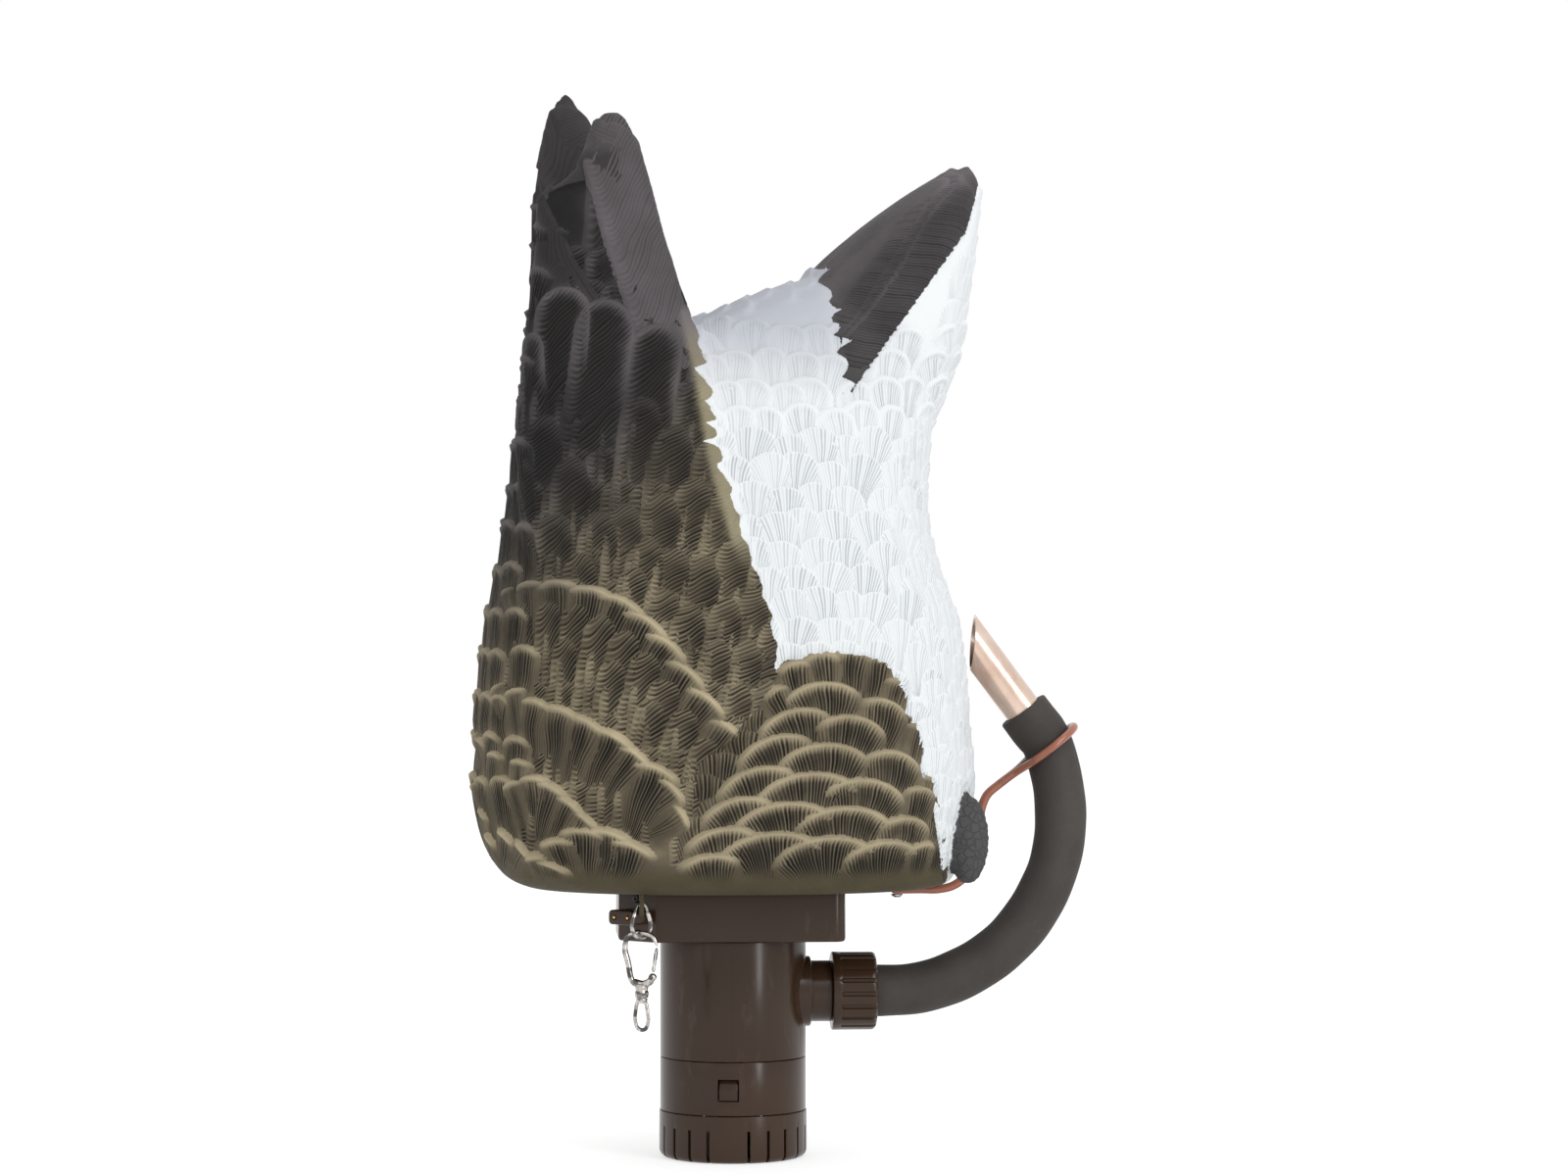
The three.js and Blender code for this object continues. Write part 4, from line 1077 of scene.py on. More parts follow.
PAINT = decoy_paint()
PLASTIC = moulded_plastic()
RUBBER = hose_rubber()
COPPER = nozzle_copper()
CLIP = clip_coating()
CHROME = plated("hardware_chrome", linear(150, 145, 140), linear(206, 203, 198), 0.12, patchy_reflections=0.9)
BRASS = plated("pin_brass", linear(176, 132, 62), linear(224, 182, 104), 0.2)
BLACK = plated("screw_black", linear(30, 30, 31), linear(62, 61, 60), 0.3)


# The pump, the hose and the hardware. Each piece has its frame node's size and place.

CAN_RADIUS = 40.5
STRAINER = {"radius": 41, "top": 26, "wall": 2.6, "floor": 3, "fillet": 4.5}
SLOT = {"width": 1.8, "top": 18, "pitch": 16, "first": -161, "count": 22}
RING = {"bottom": 26.3, "top": 55.6, "wall": 4}
LATCH = {"bearings": (-97, 83), "width": 11.5, "sill": 34.3, "head": 46.3}
CAN_BOTTOM = 55.9
CAN_TOP = 121.4
SEAM_BEARINGS = (-94, 86)
OUTLET_Z = CAN_BOTTOM + 35.3
HOUSING = {"back": -64.5, "front": 59.5, "side": 46, "bottom": 121.7, "top": 149.7, "chamfer": 20}
NUT = {"start": 54.7, "radius": 21.8, "length": 24.7, "flange": 4.6, "grooves": 18, "depth": 1.4,
       "bevel": 2.6}
HOSE_RADIUS = 14.3
HOSE_BORE = 10.75
HOSE_ROUTE = [
    (55.0, 91.2), (69.0, 91.2), (83.0, 91.2), (100.2, 92), (113.8, 95), (126.7, 99.9), (138.8, 106.4),
    (149.8, 114.4), (159.6, 124.1), (168, 135.4), (174.8, 147.8), (179.8, 160.6), (182.7, 174),
    (183.6, 187.5), (182.8, 201), (180.4, 214),
]
HOSE_END = np.array((162.2, 0, 247.6))
NOZZLE_LEAN = math.radians(36.7)
NOZZLE_WAY = np.array((-math.sin(NOZZLE_LEAN), 0, math.cos(NOZZLE_LEAN)))
NOZZLE = {"radius": 10.45, "wall": 1.2, "insert": 18, "short": 35.3, "cut": math.radians(41.4)}
WIRE = 2.2
STRAND = [(157, 212), (149, 206), (142.2, 200), (138.9, 192), (138, 182), (136.4, 170), (132.4, 157.5)]
LOOP = {"centre": (176, 226.6), "lean": math.radians(38), "long": 19, "wide": HOSE_RADIUS + WIRE + 1}
SCREW_X = 91.6
PANEL_AT = (-54.5, -36, 135.7)
PANEL_TURN = math.radians(-135)
LINK_AT = (-53.5, -76, 127.0)
LINK_TURN = math.radians(32)
HOOK_AT = (-53.5, -76, 101.15)
HOOK_TURN = math.radians(-30)
EYE_TURN = math.radians(-20)
LUG = {"width": 2.4, "depth": 9, "drop": 9.4, "hole": 3.4, "hole_z": 146.0}


def rounded(corners, closed=False, steps=4):
    """A line through corners, rows of two coordinates and the radius that rounds them."""
    line = []
    for k, (a, b, radius) in enumerate(corners):
        here = np.array((a, b), float)
        if not radius:
            line.append(here)
            continue
        before = np.array(corners[k - 1][:2], float) - here
        after = np.array(corners[(k + 1) % len(corners)][:2], float) - here
        before, after = before / np.linalg.norm(before), after / np.linalg.norm(after)
        half = 0.5 * math.acos(np.clip(before @ after, -1, 1))
        middle = (before + after) / np.linalg.norm(before + after)
        centre = here + middle * radius / math.sin(half)
        start = here + before * radius / math.tan(half) - centre
        end = here + after * radius / math.tan(half) - centre
        arc = math.pi - 2 * half
        for share in np.linspace(0, 1, steps + 1):
            spread = math.sin((1 - share) * arc) * start + math.sin(share * arc) * end
            line.append(centre + spread / math.sin(arc))
    return line


def spun(profile, sides=96, closed=False):
    """A round skin about Z through a profile of radii and heights."""
    turn = [2 * math.pi * k / sides for k in range(sides)]
    rings = [[(r * math.cos(a), r * math.sin(a), z) for a in turn] for r, z in profile]
    return loft(rings, closed)


def placed(part, at=(0, 0, 0), spin=0.0, lean=0.0):
    """A part leaned about Y, then turned about Z, then moved."""
    points, faces = part
    points = np.array(points, float)
    c, s = math.cos(lean), math.sin(lean)
    points = points @ np.array([(c, 0, -s), (0, 1, 0), (s, 0, c)])
    c, s = math.cos(spin), math.sin(spin)
    points = points @ np.array([(c, s, 0), (-s, c, 0), (0, 0, 1)])
    return [tuple(p) for p in points + np.array(at, float)], faces


def block(size, at=(0, 0, 0)):
    x, y, z = (0.5 * v for v in size)
    rings = [[(sx * x, sy * y, h) for sx, sy in ((-1, -1), (1, -1), (1, 1), (-1, 1))] for h in (-z, z)]
    return placed(loft(rings), at)


def along_x(part, at=(0, 0, 0)):
    """A part made about Z, laid along +X."""
    return placed(part, at, lean=math.pi / 2)


def catmull(points, closed=False, steps=24):
    """A smooth line through points, spaced so that it never loops between close ones."""
    given = [np.array(p, float) for p in points]
    count = len(given)
    if closed:
        pick = lambda k: given[k % count]
        spans = count
    else:
        longer = [2 * given[0] - given[1], *given, 2 * given[-1] - given[-2]]
        pick = lambda k: longer[k + 1]
        spans = count - 1
    line = []
    for k in range(spans):
        p, q, r, s = (pick(k + j) for j in (-1, 0, 1, 2))
        u, v, w = (max(1e-4, math.sqrt(np.linalg.norm(b - a))) for a, b in ((p, q), (q, r), (r, s)))
        into = ((q - p) / u - (r - p) / (u + v) + (r - q) / v) * v
        out = ((r - q) / v - (s - q) / (v + w) + (s - r) / w) * v
        for share in np.linspace(0, 1, steps, endpoint=False):
            line.append(
                (2 * share**3 - 3 * share**2 + 1) * q + (share**3 - 2 * share**2 + share) * into
                + (3 * share**2 - 2 * share**3) * r + (share**3 - share**2) * out
            )
    if not closed:
        line.append(given[-1])
    return np.array(line)


class Route:
    """A smooth line in space, measured along its length, with rings about it."""

    def __init__(self, points, closed=False):
        line = catmull(points, closed)
        if closed:
            line = np.vstack([line, line[:1]])
        steps = np.linalg.norm(np.diff(line, axis=0), axis=1)
        self.line = line
        self.at = np.concatenate([[0], np.cumsum(steps)])
        self.length = self.at[-1]
        ways = np.gradient(line, self.at, axis=0)
        if closed:
            ways[0] = ways[-1] = ways[0] + ways[-1]
        self.ways = ways / np.linalg.norm(ways, axis=1)[:, None]
        across = np.array((0.0, 1.0, 0.0))
        self.sides = []
        for way in self.ways:
            across = across - way * (across @ way)
            across = across / np.linalg.norm(across)
            self.sides.append(across)
        self.sides = np.array(self.sides)

    def ring(self, at, radius, sides, flat=1.0):
        """A ring of this radius, flat is its depth off the line's plane as a share of that."""
        centre, way, across = (
            np.array([np.interp(at, self.at, values[:, k]) for k in range(3)])
            for values in (self.line, self.ways, self.sides)
        )
        other = np.cross(way, across)
        turn = [2 * math.pi * k / sides for k in range(sides)]
        return [centre + radius * (flat * across * math.cos(a) + other * math.sin(a)) for a in turn]


def wire(points, radius, steps, sides=24, closed=False, flat=1.0):
    """A bent wire. Its radius is one number, or rows of share along it and radius."""
    route = Route(points, closed)
    rings = []
    for share in np.linspace(0, 1, steps, endpoint=not closed):
        size = radius if isinstance(radius, (int, float)) else np.interp(share, *zip(*radius))
        rings.append(route.ring(share * route.length, size, sides, flat))
    return loft(rings, closed)


def mesh_of(name, parts):
    """One mesh of the parts, in metres, with its faces turned outwards."""
    points, faces = joined(parts)
    mesh = new_mesh(name, np.array(points, float) * MM, faces)
    made = bmesh.new()
    made.from_mesh(mesh)
    bmesh.ops.recalc_face_normals(made, faces=made.faces)
    made.to_mesh(mesh)
    made.free()
    return mesh


def together(mesh, other):
    """Adds another mesh to this one as it is."""
    made = bmesh.new()
    made.from_mesh(mesh)
    made.from_mesh(other)
    made.to_mesh(mesh)
    made.free()
    return mesh


def worked(mesh, steps, bevel=0.0):
    """The mesh after cuts and joins with others, and with its sharp edges then rounded."""
    thing = new_object("work", mesh)
    helpers = []
    for operation, parts in steps:
        tool = new_object("tool", mesh_of("tool", parts))
        helpers.append(tool)
        step = thing.modifiers.new(operation, "BOOLEAN")
        step.operation = operation
        step.solver = "EXACT"
        step.use_self = operation == "UNION"
        step.object = tool
    if bevel:
        round_off = thing.modifiers.new("round", "BEVEL")
        round_off.width = bevel * MM
        round_off.segments = 2
        round_off.limit_method = "ANGLE"
        round_off.angle_limit = math.radians(38)
        round_off.use_clamp_overlap = True
    done = applied(thing)
    for other in (*helpers, thing):
        bpy.data.objects.remove(other)
    return done


SMOOTH_BELOW = math.radians(34)  # edges that turn less than this are shaded smooth


def piece(node, mesh, material, body):
    """A finished piece that stands for a frame node."""
    mesh.name = "shown_" + node
    mesh.materials.clear()
    mesh.materials.append(material)
    mesh.shade_smooth()
    mesh.set_sharp_from_angle(angle=SMOOTH_BELOW)
    thing = new_object("shown_" + node, mesh)
    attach(thing, body)
    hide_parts(node)


def radial(part, bearing):
    return placed(part, spin=math.radians(bearing))


def strainer():
    radius, wall, top, floor = (STRAINER[k] for k in ("radius", "wall", "top", "floor"))
    profile = rounded([
        (1, 0, 0), (radius, 0, STRAINER["fillet"]), (radius, top, 0.4), (radius - wall, top, 0.3),
        (radius - wall, floor, 1), (1, floor, 0),
    ], steps=6)
    cuts = []
    for k in range(SLOT["count"]):
        bearing = SLOT["first"] + SLOT["pitch"] * k
        away = min(abs((bearing - latch + 540) % 360 - 180) for latch in LATCH["bearings"])
        if away < SLOT["pitch"] / 2:
            continue
        depth = wall + STRAINER["fillet"]
        size, at = (depth, SLOT["width"], SLOT["top"] + 1), (radius + 1 - depth / 2, 0, 8.5)
        cuts.append(radial(block(size, at), bearing))
    mesh = worked(mesh_of("strainer", [spun(profile, 128)]), [("DIFFERENCE", cuts)], 0.22)
    latches = []
    for bearing in LATCH["bearings"]:
        inner = CAN_RADIUS - RING["wall"] - 0.9
        outline = rounded([
            (inner - 3, floor - 0.5, 0), (inner, floor - 0.5, 0), (inner, 34.6, 0), (39.6, 34.6, 0.4),
            (39.9, 40.4, 0.6), (37.2, 45.9, 0.5), (inner - 3, 45.9, 0.5),
        ], closed=True)
        half = LATCH["width"] / 2 - 0.7
        rings = [[(r, y, z) for r, z in outline] for y in (-half, half)]
        latches.append(radial(loft(rings), bearing))
    tongues = worked(mesh_of("tongues", latches), [], 0.25)
    return together(mesh, tongues)


def latch_ring():
    inner = CAN_RADIUS - RING["wall"]
    low, high = RING["bottom"], RING["top"]
    profile = rounded([
        (inner, low, 0.3), (CAN_RADIUS, low, 0.5), (CAN_RADIUS, high, 0.5), (inner, high, 0.3),
    ], closed=True)
    windows = []
    for bearing in LATCH["bearings"]:
        size = (RING["wall"] + 4, LATCH["width"], LATCH["head"] - LATCH["sill"])
        window = block(size, (CAN_RADIUS - RING["wall"] / 2, 0, 0.5 * (LATCH["head"] + LATCH["sill"])))
        windows.append(radial(window, bearing))
    return worked(mesh_of("ring", [spun(profile, 128, True)]), [("DIFFERENCE", windows)], 0.3)


def motor_can():
    body = spun(rounded([(1, CAN_BOTTOM, 0), (CAN_RADIUS, CAN_BOTTOM, 0.5), (CAN_RADIUS, CAN_TOP, 0.4),
                         (1, CAN_TOP, 0)]), 144)
    outlet = along_x(spun(rounded([
        (1, 20, 0), (19.5, 20, 0), (19.5, 43, 1.0), (17, 43, 0.5), (17, 54.4, 0.5), (10.45, 54.4, 0.3),
        (10.45, 84.4, 0.5), (1, 84.4, 0),
    ]), 96), (0, 0, OUTLET_Z))
    bore = along_x(spun([(7.5, 20.3), (7.5, 86)], 64), (0, 0, OUTLET_Z))
    mesh = worked(mesh_of("can", [body]), [("UNION", [outlet]), ("DIFFERENCE", [bore])], 0.3)
    size = (0.5, 0.4, CAN_TOP - CAN_BOTTOM - 1.2)
    line = block(size, (CAN_RADIUS - 0.14, 0, 0.5 * (CAN_TOP + CAN_BOTTOM)))
    seam = [radial(line, bearing) for bearing in SEAM_BEARINGS]
    return together(mesh, mesh_of("seams", seam))


def housing():
    back, front, side, cut = (HOUSING[k] for k in ("back", "front", "side", "chamfer"))
    corners = [
        (back + cut, -side, 1.6), (front, -side, 7), (front, side, 7), (back + cut, side, 1.6),
        (back, side - cut, 1.6), (back, -side + cut, 1.6),
    ]

    def ring(inset, z):
        inner = []
        lines = []
        for k, (x, y, _) in enumerate(corners):
            nx, ny, _ = corners[(k + 1) % len(corners)]
            way = np.array((nx - x, ny - y), float)
            way /= np.linalg.norm(way)
            inward = np.array((-way[1], way[0]))
            lines.append((np.array((x, y)) + inward * inset, way))
        for k, (_, _, radius) in enumerate(corners):
            (p, u), (q, v) = lines[k - 1], lines[k]
            t = np.linalg.solve(np.column_stack([u, -v]), q - p)
            meet = p + u * t[0]
            inner.append((*meet, max(0.3, radius - inset)))
        return [(x, y, z) for x, y in rounded(inner, closed=True, steps=6)]

    low, high = HOUSING["bottom"], HOUSING["top"]
    rings = [ring(3.4, low)]
    for degrees in range(0, 91, 15):
        a = math.radians(degrees)
        rings.append(ring(2 * (1 - math.sin(a)), low + 2 * (1 - math.cos(a))))
    rings.append(ring(0.15, high - 0.8))
    for degrees in (30, 60, 90):
        a = math.radians(degrees)
        rings.append(ring(0.15 + 0.6 * (1 - math.cos(a)), high - 0.6 + 0.6 * math.sin(a)))
    return mesh_of("housing", [loft(rings)])


def union_nut():
    count = NUT["grooves"]
    sides = count * 16
    radius, length, bevel = NUT["radius"], NUT["length"], NUT["bevel"]
    flange = NUT["flange"]
    stations = [  # height, radius and how deep the grooves are cut there
        (0, radius - 0.7, 0), (0.25, radius - 0.2, 0), (0.8, radius, 0), (flange - 0.3, radius, 0),
        (flange + 0.1, radius - 0.12, 0.15), (flange + 0.6, radius - 0.15, 1),
        (length - bevel - 1, radius - 0.15, 1),
    ]
    for degrees in (15, 30, 45, 60, 75, 90):
        a = math.radians(degrees)
        stations.append((length - bevel + bevel * math.sin(a), radius - bevel * (1 - math.cos(a)) - 0.15,
                         1 - degrees / 90))
    rings = []
    for z, r, grooved in stations:
        ring = []
        for k in range(sides):
            share = (k * count / sides) % 1.0
            dip = float(ease(0.5 - abs(share - 0.5), 0.30, 0.40))
            reach = r - grooved * NUT["depth"] * dip
            a = 2 * math.pi * k / sides
            ring.append((reach * math.cos(a), reach * math.sin(a), z))
        rings.append(ring)
    bore = HOSE_RADIUS + 0.3
    for z, r in ((length, bore + 0.6), (length - 0.6, bore), (0.4, bore), (0, bore + 0.4)):
        rings.append([(r * math.cos(2 * math.pi * k / sides), r * math.sin(2 * math.pi * k / sides), z)
                      for k in range(sides)])
    return mesh_of("nut", [along_x(loft(rings, True), (NUT["start"], 0, OUTLET_Z))])


def hose():
    inserted = NOZZLE["insert"]
    points = [(x, 0, z) for x, z in HOSE_ROUTE]
    points += [HOSE_END - NOZZLE_WAY * (inserted + 4), HOSE_END - NOZZLE_WAY * inserted / 2, HOSE_END]
    route = Route(points)
    last = route.length
    steps = np.linspace(1.2, last - 1.2, 110)
    rings = [route.ring(0, HOSE_RADIUS - 0.8, 72), route.ring(0.3, HOSE_RADIUS - 0.25, 72)]
    for at in steps:
        swell = 0.12 * math.sin(at / 9) + 0.08 * math.sin(at / 3.7 + 1)
        swell += 0.35 * float(ease(at, last - 22, last - 16))
        rings.append(route.ring(at, HOSE_RADIUS + swell, 72))
    rings += [route.ring(last - 0.35, HOSE_RADIUS + 0.1, 72), route.ring(last, HOSE_RADIUS - 0.6, 72)]
    rings += [route.ring(last, HOSE_BORE + 0.5, 72), route.ring(last - 0.5, HOSE_BORE, 72)]
    rings += [route.ring(at, HOSE_BORE, 72) for at in steps[::-2]]
    rings.append(route.ring(0, HOSE_BORE, 72))
    return mesh_of("hose", [loft(rings, True)])


def nozzle():
    radius, wall, insert, short = (NOZZLE[k] for k in ("radius", "wall", "insert", "short"))
    sides = 96

    def slanted(r, share, drop=0.0):
        ring = []
        for k in range(sides):
            a = 2 * math.pi * k / sides
            end = short + (r * math.cos(a) + radius) / math.tan(NOZZLE["cut"]) - drop
            ring.append((r * math.cos(a), r * math.sin(a), -insert + share * (end + insert)))
        return ring

    shares = np.linspace(0.02, 1, 24)
    rings = [slanted(radius - 0.3, 0), *(slanted(radius, s, 0.35) for s in shares)]
    rings += [slanted(radius - 0.15, 1, 0.08), slanted(radius - 0.45, 1), slanted(radius - wall + 0.3, 1)]
    rings += [slanted(radius - wall, s, 0.2) for s in shares[::-1]]
    rings.append(slanted(radius - wall, 0))
    return mesh_of("nozzle", [placed(loft(rings, True), HOSE_END, lean=-NOZZLE_LEAN)])


def wire_clip():
    under = BIRD_BOTTOM - FIT_GAP - WIRE
    apart = WIRE + FIT_GAP / 2
    strand = [(x, apart, z) for x, z in STRAND]
    strand += [(124, apart, under + 2.4), (115, apart, under), (104, apart + 0.3, under),
               (SCREW_X + 4, 4.2, under), (SCREW_X - 4, 4.5, under)]
    loop = []
    for degrees in range(-155, 156, 31):
        a = math.radians(degrees)
        along = LOOP["long"] * math.cos(a)
        loop.append((LOOP["centre"][0] + along * math.cos(LOOP["lean"]), LOOP["wide"] * math.sin(a),
                     LOOP["centre"][1] + along * math.sin(LOOP["lean"])))
    points = [(x, -y, z) for x, y, z in strand][::-1] + loop + strand
    radius = [(0, 0.9), (0.002, 1.7), (0.006, WIRE), (0.994, WIRE), (0.998, 1.7), (1, 0.9)]
    return mesh_of("clip", [wire(points, radius, 260, 24)])


def cross_recess(at, reach, depth):
    """Two crossed bars that cut a cross-head screw."""
    return [block((2 * reach, 0.32 * reach, depth), at), block((0.32 * reach, 2 * reach, depth), at)]


def clip_screw():
    top = BIRD_BOTTOM - 2 * FIT_GAP - 2 * WIRE
    dome = [(0.3, -2.2), (1.2, -2.1), (2.1, -1.8), (2.85, -1.25),
            (3.25, -0.6), (3.3, -0.2), (3.15, 0), (1.5, 0)]
    profile = [(r, top + z) for r, z in dome] + [(1.5, BIRD_BOTTOM + 10.4), (0.9, BIRD_BOTTOM + 11)]
    head = placed(spun(profile, 40), (SCREW_X, 0, 0))
    cuts = cross_recess((SCREW_X, 0, top - 2.2), 1.7, 1.8)
    return worked(mesh_of("screw", [head]), [("DIFFERENCE", [cut]) for cut in cuts], 0.08)


def on_panel(part):
    """A part whose +X points out of the housing's cut corner."""
    return placed(part, PANEL_AT, spin=PANEL_TURN)


def plug():
    w, h, r = 18.5 / 2, 8 / 2, 2.4

    def ring(inset, x):
        line = rounded([(w - inset, h - inset, r - inset), (-w + inset, h - inset, r - inset),
                        (-w + inset, -h + inset, r - inset), (w - inset, -h + inset, r - inset)],
                       closed=True, steps=6)
        return [(x, y, z) for y, z in line]

    rings = [ring(0, 0.3), ring(0, 12.5)]
    for degrees in (30, 60, 90):
        a = math.radians(degrees)
        rings.append(ring(0.8 * (1 - math.cos(a)), 12.5 + 0.8 * math.sin(a)))
    sockets = [along_x(spun([(1.2, 12.1), (1.2, 15)], 32), (0, side * 4.9, 0)) for side in (-1, 1)]
    flare = [along_x(spun([(1.2, 12.9), (1.8, 13.5)], 32), (0, side * 4.9, 0)) for side in (-1, 1)]
    mesh = mesh_of("plug", [on_panel(loft(rings))])
    return worked(mesh, [("DIFFERENCE", [on_panel(p) for p in sockets]),
                         ("DIFFERENCE", [on_panel(p) for p in flare])], 0.0)


def plug_pin(side):
    profile = [(0.9, 12.4), (0.9, 13.2), (0.78, 13.45), (0.5, 13.6)]
    return mesh_of("pin", [on_panel(along_x(spun(profile, 24), (0, side * 4.9, 0)))])


def panel_screw(side):
    profile = [(2.6, 0.3), (2.6, 0.9), (2.45, 1.2), (2.1, 1.42), (1.5, 1.5)]
    head = on_panel(along_x(spun(profile, 40), (0, 0, side * 10)))
    bars = [block((1.6, 2.6, 0.55), (1.6, 0, side * 10)), block((1.6, 0.55, 2.6), (1.6, 0, side * 10))]
    steps = [("DIFFERENCE", [on_panel(bar)]) for bar in bars]
    return worked(mesh_of("panel_screw", [head]), steps, 0.06)


def ring_link():
    w, h = 6, 19
    right = [(0.75 * w, 0.1 * h), (w, 0.33 * h), (0.72 * w, 0.68 * h), (0.3 * w, 0.94 * h)]
    points = [(0, 0), *right, (0, h), *((-x, z) for x, z in right[::-1])]
    radius = [(0, 1.05), (0.2, 1.28), (0.36, 1.15), (0.5, 0.98), (0.64, 1.15), (0.8, 1.28), (1, 1.05)]
    loop = wire([(x, 0, z) for x, z in points], radius, 120, 24, closed=True, flat=0.8)
    return mesh_of("link", [placed(loop, LINK_AT, spin=LINK_TURN)])


BALL = (6.6, 0, 5)
BALL_RADIUS = 2.1


def snap_hook():
    u, v = 10.2, 28.5
    points = [(BALL[0] - 1, 2.6), (0, 0.6), (-5.4, 2.2), (-0.8 * u, 0.42 * v), (-u, 0.74 * v),
              (-0.72 * u, 0.95 * v), (0, v), (0.66 * u, 0.94 * v), (u - 0.8, v - 6.6)]
    radius = [(0, 1.3), (0.15, 1.55), (0.45, 1.6), (0.6, 1.35), (0.8, 1.25), (0.965, 1.0), (0.99, 0.7),
              (1, 0.3)]
    arm = wire([(x, 0, z) for x, z in points], radius, 110, 24, flat=1.05)
    tilts = [math.radians(degrees) for degrees in range(8, 173, 12)]
    ball = spun([(BALL_RADIUS * math.sin(a), -BALL_RADIUS * math.cos(a)) for a in tilts], 32)
    saddle = wire([(-6.2, 0, 2.4), (-3, 0, 1.5), (1, 0, 1.0), (4.6, 0, 2.4), (6.9, 0, 4.4)],
                  [(0, 1.2), (0.15, 2.1), (0.5, 2.0), (0.85, 2.0), (1, 1.2)], 30, 24)
    barrel = spun(rounded([
        (1.5, -6.2, 0.2), (3.5, -6.2, 0.5), (3.8, -3.4, 0.8), (3.2, -2.3, 0.4), (3.2, -1.6, 0.4),
        (3.7, -0.6, 0.5), (2.6, 1.2, 0.6), (1.5, 1.2, 0.2),
    ], closed=True), 48, True)
    points, faces = spun([(1.1, -2.7), (1.25, -2.5), (1.25, 2.5), (1.1, 2.7)], 24)
    rivets = ([(x, z, y) for x, y, z in points], faces)
    parts = [arm, placed(ball, BALL), saddle, barrel, placed(rivets, BALL)]
    return mesh_of("hook", [placed(p, HOOK_AT, spin=HOOK_TURN) for p in parts])


def snap_gate():
    start, end = np.array(BALL, float), np.array((10.2 - 0.8, 0, 28.5 - 6.6))
    way = (end - start) / np.linalg.norm(end - start)
    across = np.array((way[2], 0, -way[0]))
    low, high = start + way * 2.8, end - way * 1.3
    points = [low + across * 0.3, low + across * 0.62 + way * 1.5, low + across * 0.62 + way * 5,
              high + across * 0.55 - way * 1.5, high, high - across * 0.55 - way * 1.5,
              low - across * 0.62 + way * 5, low - across * 0.62 + way * 1.5, low - across * 0.3]
    hairpin = wire(points, 0.42, 90, 16)
    return mesh_of("gate", [placed(hairpin, HOOK_AT, spin=HOOK_TURN)])


def swivel_eye():
    a, b, top, collar = 5.2, 15.5, -6.5, 2.6
    right = [(0.62 * a, -0.06 * b), (0.92 * a, -0.35 * b), (a, -0.68 * b), (0.66 * a, -0.93 * b)]
    points = [(0, 0), *right, (0, -b), *((-x, z) for x, z in right[::-1])]
    loop = wire([(x, 0, z) for x, z in points], 1.1, 110, 24, closed=True, flat=0.85)
    head = spun(rounded([(0.4, top - collar, 0), (2.5, top - collar, 0.6), (3.1, top - 1.3, 0.5),
                         (3.1, top, 0.4), (0.4, top, 0)]), 40)
    pin = spun([(1.2, top - 0.5), (1.2, -2.3), (0.8, -2.0)], 24)
    parts = [placed(loop, (0, 0, top - collar + 1.05)), head, pin]
    parts = [placed(placed(p, spin=EYE_TURN), HOOK_AT, spin=HOOK_TURN) for p in parts]
    return mesh_of("eye", parts)


def lug():
    """The lug under the bird that the ring link hangs in."""
    width, depth, drop, hole = (LUG[k] for k in ("width", "depth", "drop", "hole"))
    low, high = BIRD_BOTTOM + 2 - drop - 2 - 2, BIRD_BOTTOM + 3
    half = depth / 2
    corners = [(-half, low, 3.4), (half, low, 3.4), (half, high, 0), (-half, high, 0)]
    outline = rounded(corners, closed=True, steps=8)
    rings = []
    for inset, x in ((0.4, -width / 2), (0, -width / 2 + 0.4), (0, width / 2 - 0.4), (0.4, width / 2)):
        middle = np.array((0, 0.5 * (low + high)))
        scaled = [middle + (p - middle) * (1 - inset / half) for p in outline]
        rings.append([(x, y, z) for y, z in scaled])
    body = placed(loft(rings), (LINK_AT[0], LINK_AT[1], 0))
    eyelet = along_x(spun([(hole, -4), (hole, 4)], 40), (LINK_AT[0], LINK_AT[1], LUG["hole_z"]))
    return worked(mesh_of("lug", [body]), [("DIFFERENCE", [eyelet])], 0.3)


for node, mesh, material, slot, body in (
    ("strainer", strainer(), PLASTIC, "pump_plastic", "root"),
    ("latch_ring", latch_ring(), PLASTIC, "pump_plastic", "root"),
    ("motor_can", motor_can(), PLASTIC, "pump_plastic", "root"),
    ("control_housing", housing(), PLASTIC, "pump_plastic", "root"),
    ("union_nut", union_nut(), PLASTIC, "pump_plastic", "root"),
    ("charging_plug", plug(), PLASTIC, "pump_plastic", "root"),
    ("plug_pin_left", plug_pin(-1), BRASS, "pin_brass", "root"),
    ("plug_pin_right", plug_pin(1), BRASS, "pin_brass", "root"),
    ("panel_screw_upper", panel_screw(1), BLACK, "screw_black", "root"),
    ("panel_screw_lower", panel_screw(-1), BLACK, "screw_black", "root"),
    ("hose", hose(), RUBBER, "hose_rubber", "root"),
    ("nozzle", nozzle(), COPPER, "nozzle_copper", "root"),
    ("wire_clip", wire_clip(), CLIP, "clip_wire", "root"),
    ("clip_screw", clip_screw(), CHROME, "hardware_chrome", "root"),
    ("ring_link", ring_link(), CHROME, "hardware_chrome", "root"),
    ("snap_hook", snap_hook(), CHROME, "hardware_chrome", "root"),
    ("snap_gate", snap_gate(), CHROME, "hardware_chrome", "snap_gate"),
    ("swivel_eye", swivel_eye(), CHROME, "hardware_chrome", "swivel_eye"),
):
    piece(node, mesh, material, body)


# The camera, the light and the floor


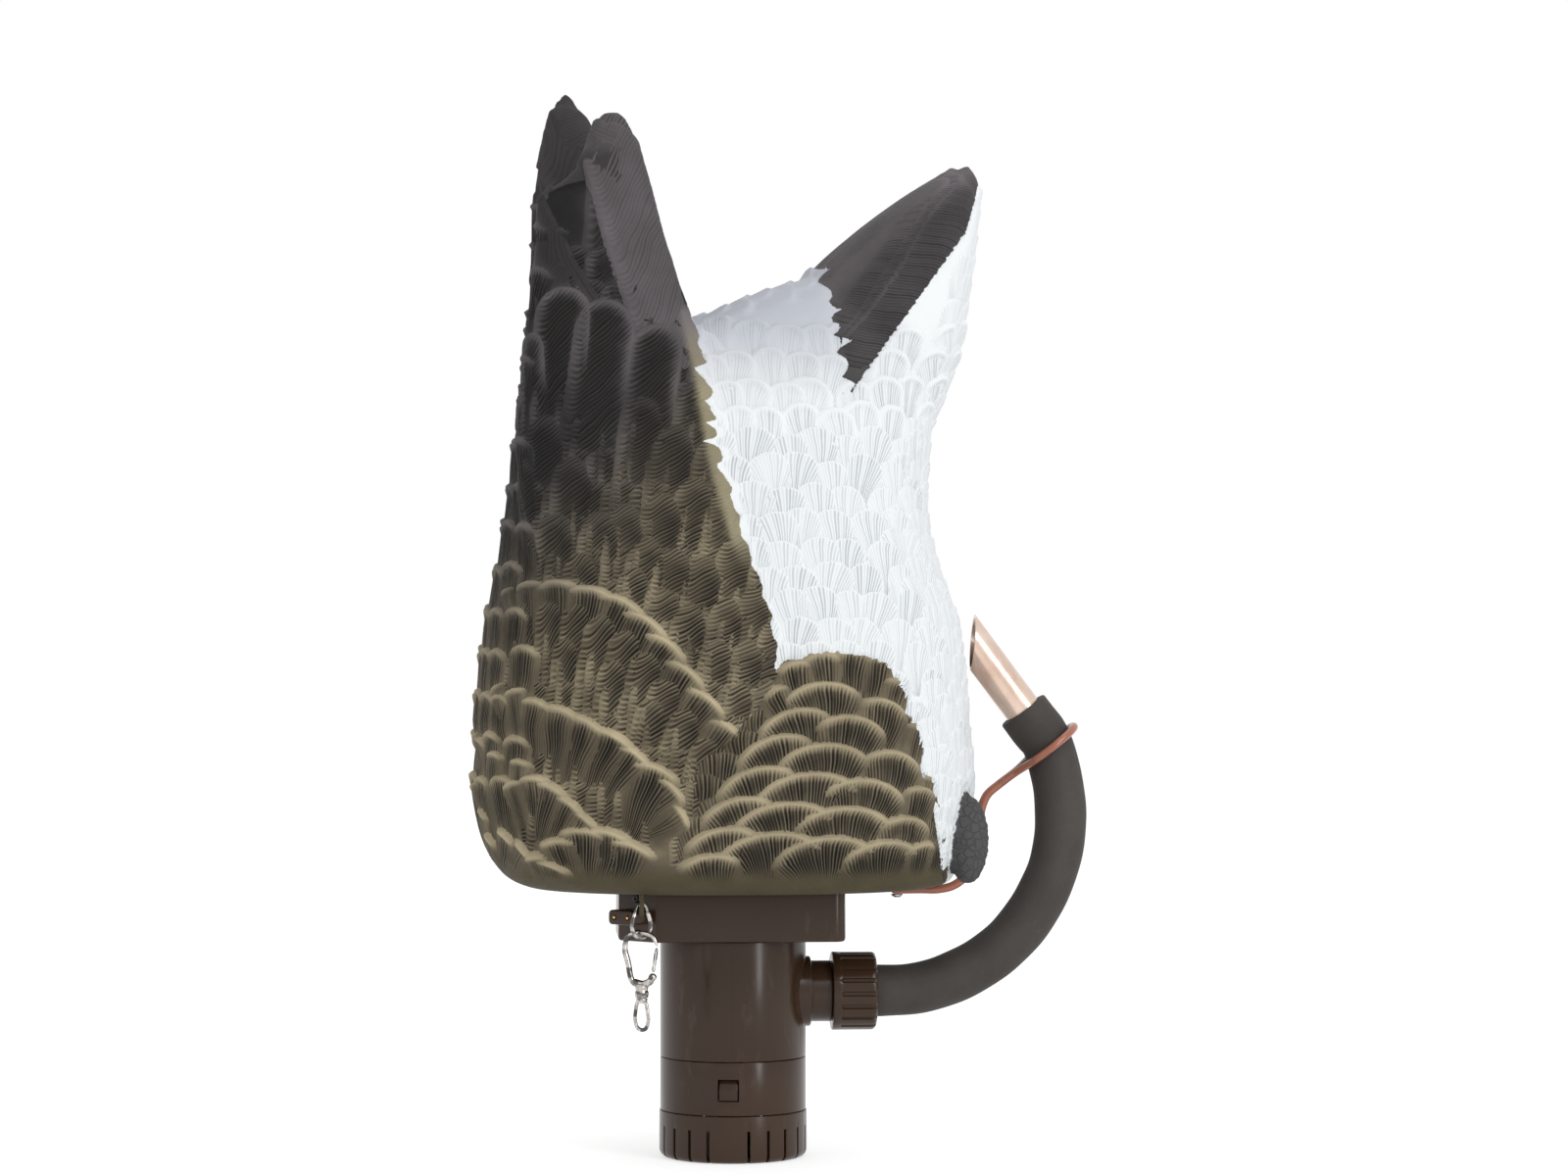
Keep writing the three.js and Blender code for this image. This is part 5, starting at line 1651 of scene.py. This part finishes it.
def add_camera():
    camera = bpy.data.cameras.new("camera")
    camera.sensor_width = 36
    camera.lens = FOCAL_PIXELS * camera.sensor_width / PICTURE[0]
    camera.shift_y = (HORIZON_ROW - PICTURE[1] / 2) / PICTURE[0]
    camera.clip_end = 50
    thing = new_object("camera", camera)
    thing.location = EYE * MM
    thing.rotation_euler = (math.pi / 2, 0, AZIMUTH)
    bpy.context.scene.camera = thing


LIGHTS_AIM = (0.02, 0, 0.3)  # the object's middle


def add_light(name, place, size, power):
    light = bpy.data.lights.new(name, "AREA")
    light.shape = "RECTANGLE"
    light.size, light.size_y = size
    light.energy = power
    thing = new_object(name, light)
    thing.location = place
    aim = Vector(LIGHTS_AIM) - thing.location
    thing.rotation_euler = aim.to_track_quat("-Z", "Y").to_euler()


def add_floor():
    """A pale round floor, wide enough that its edge is lost against the white behind it."""
    points, faces = spun([(1, 0.0), (7000, 0.0)], 96)
    floor = new_object("floor", new_mesh("floor", np.array(points) * MM, faces[:-1]))
    m = Nodes("floor_paper")
    m.set(Base_Color=m.mix(m.span(m.noise(3, 2), 0.3, 0.7), linear(176, 176, 176), linear(180, 180, 180)))
    m.set(Roughness=0.9, Specular_IOR_Level=0.1, Emission_Strength=0.62)
    m.shader.inputs["Emission Color"].default_value = (1, 1, 1, 1)
    floor.data.materials.append(m.material)


def add_world():
    world = bpy.data.worlds.new("studio")
    bpy.context.scene.world = world
    world.use_nodes = True
    world.node_tree.nodes["Background"].inputs["Color"].default_value = (1, 1, 1, 1)
    world.node_tree.nodes["Background"].inputs["Strength"].default_value = 1.0


add_camera()
add_world()
add_floor()
add_light("key", (1.3, -1.8, 1.7), (1.0, 1.2), 19)
add_light("fill", (-1.8, -1.5, 0.9), (1.2, 1.4), 3)
add_light("top", (0.1, 0.3, 2.2), (1.6, 1.2), 6)
add_light("strip", (1.15, -1.45, 0.45), (0.2, 0.9), 6)
bpy.context.scene.view_settings.view_transform = "Standard"

goose = bird()
goose.data.materials.append(PAINT)
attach(goose, "root")
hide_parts("decoy_body")
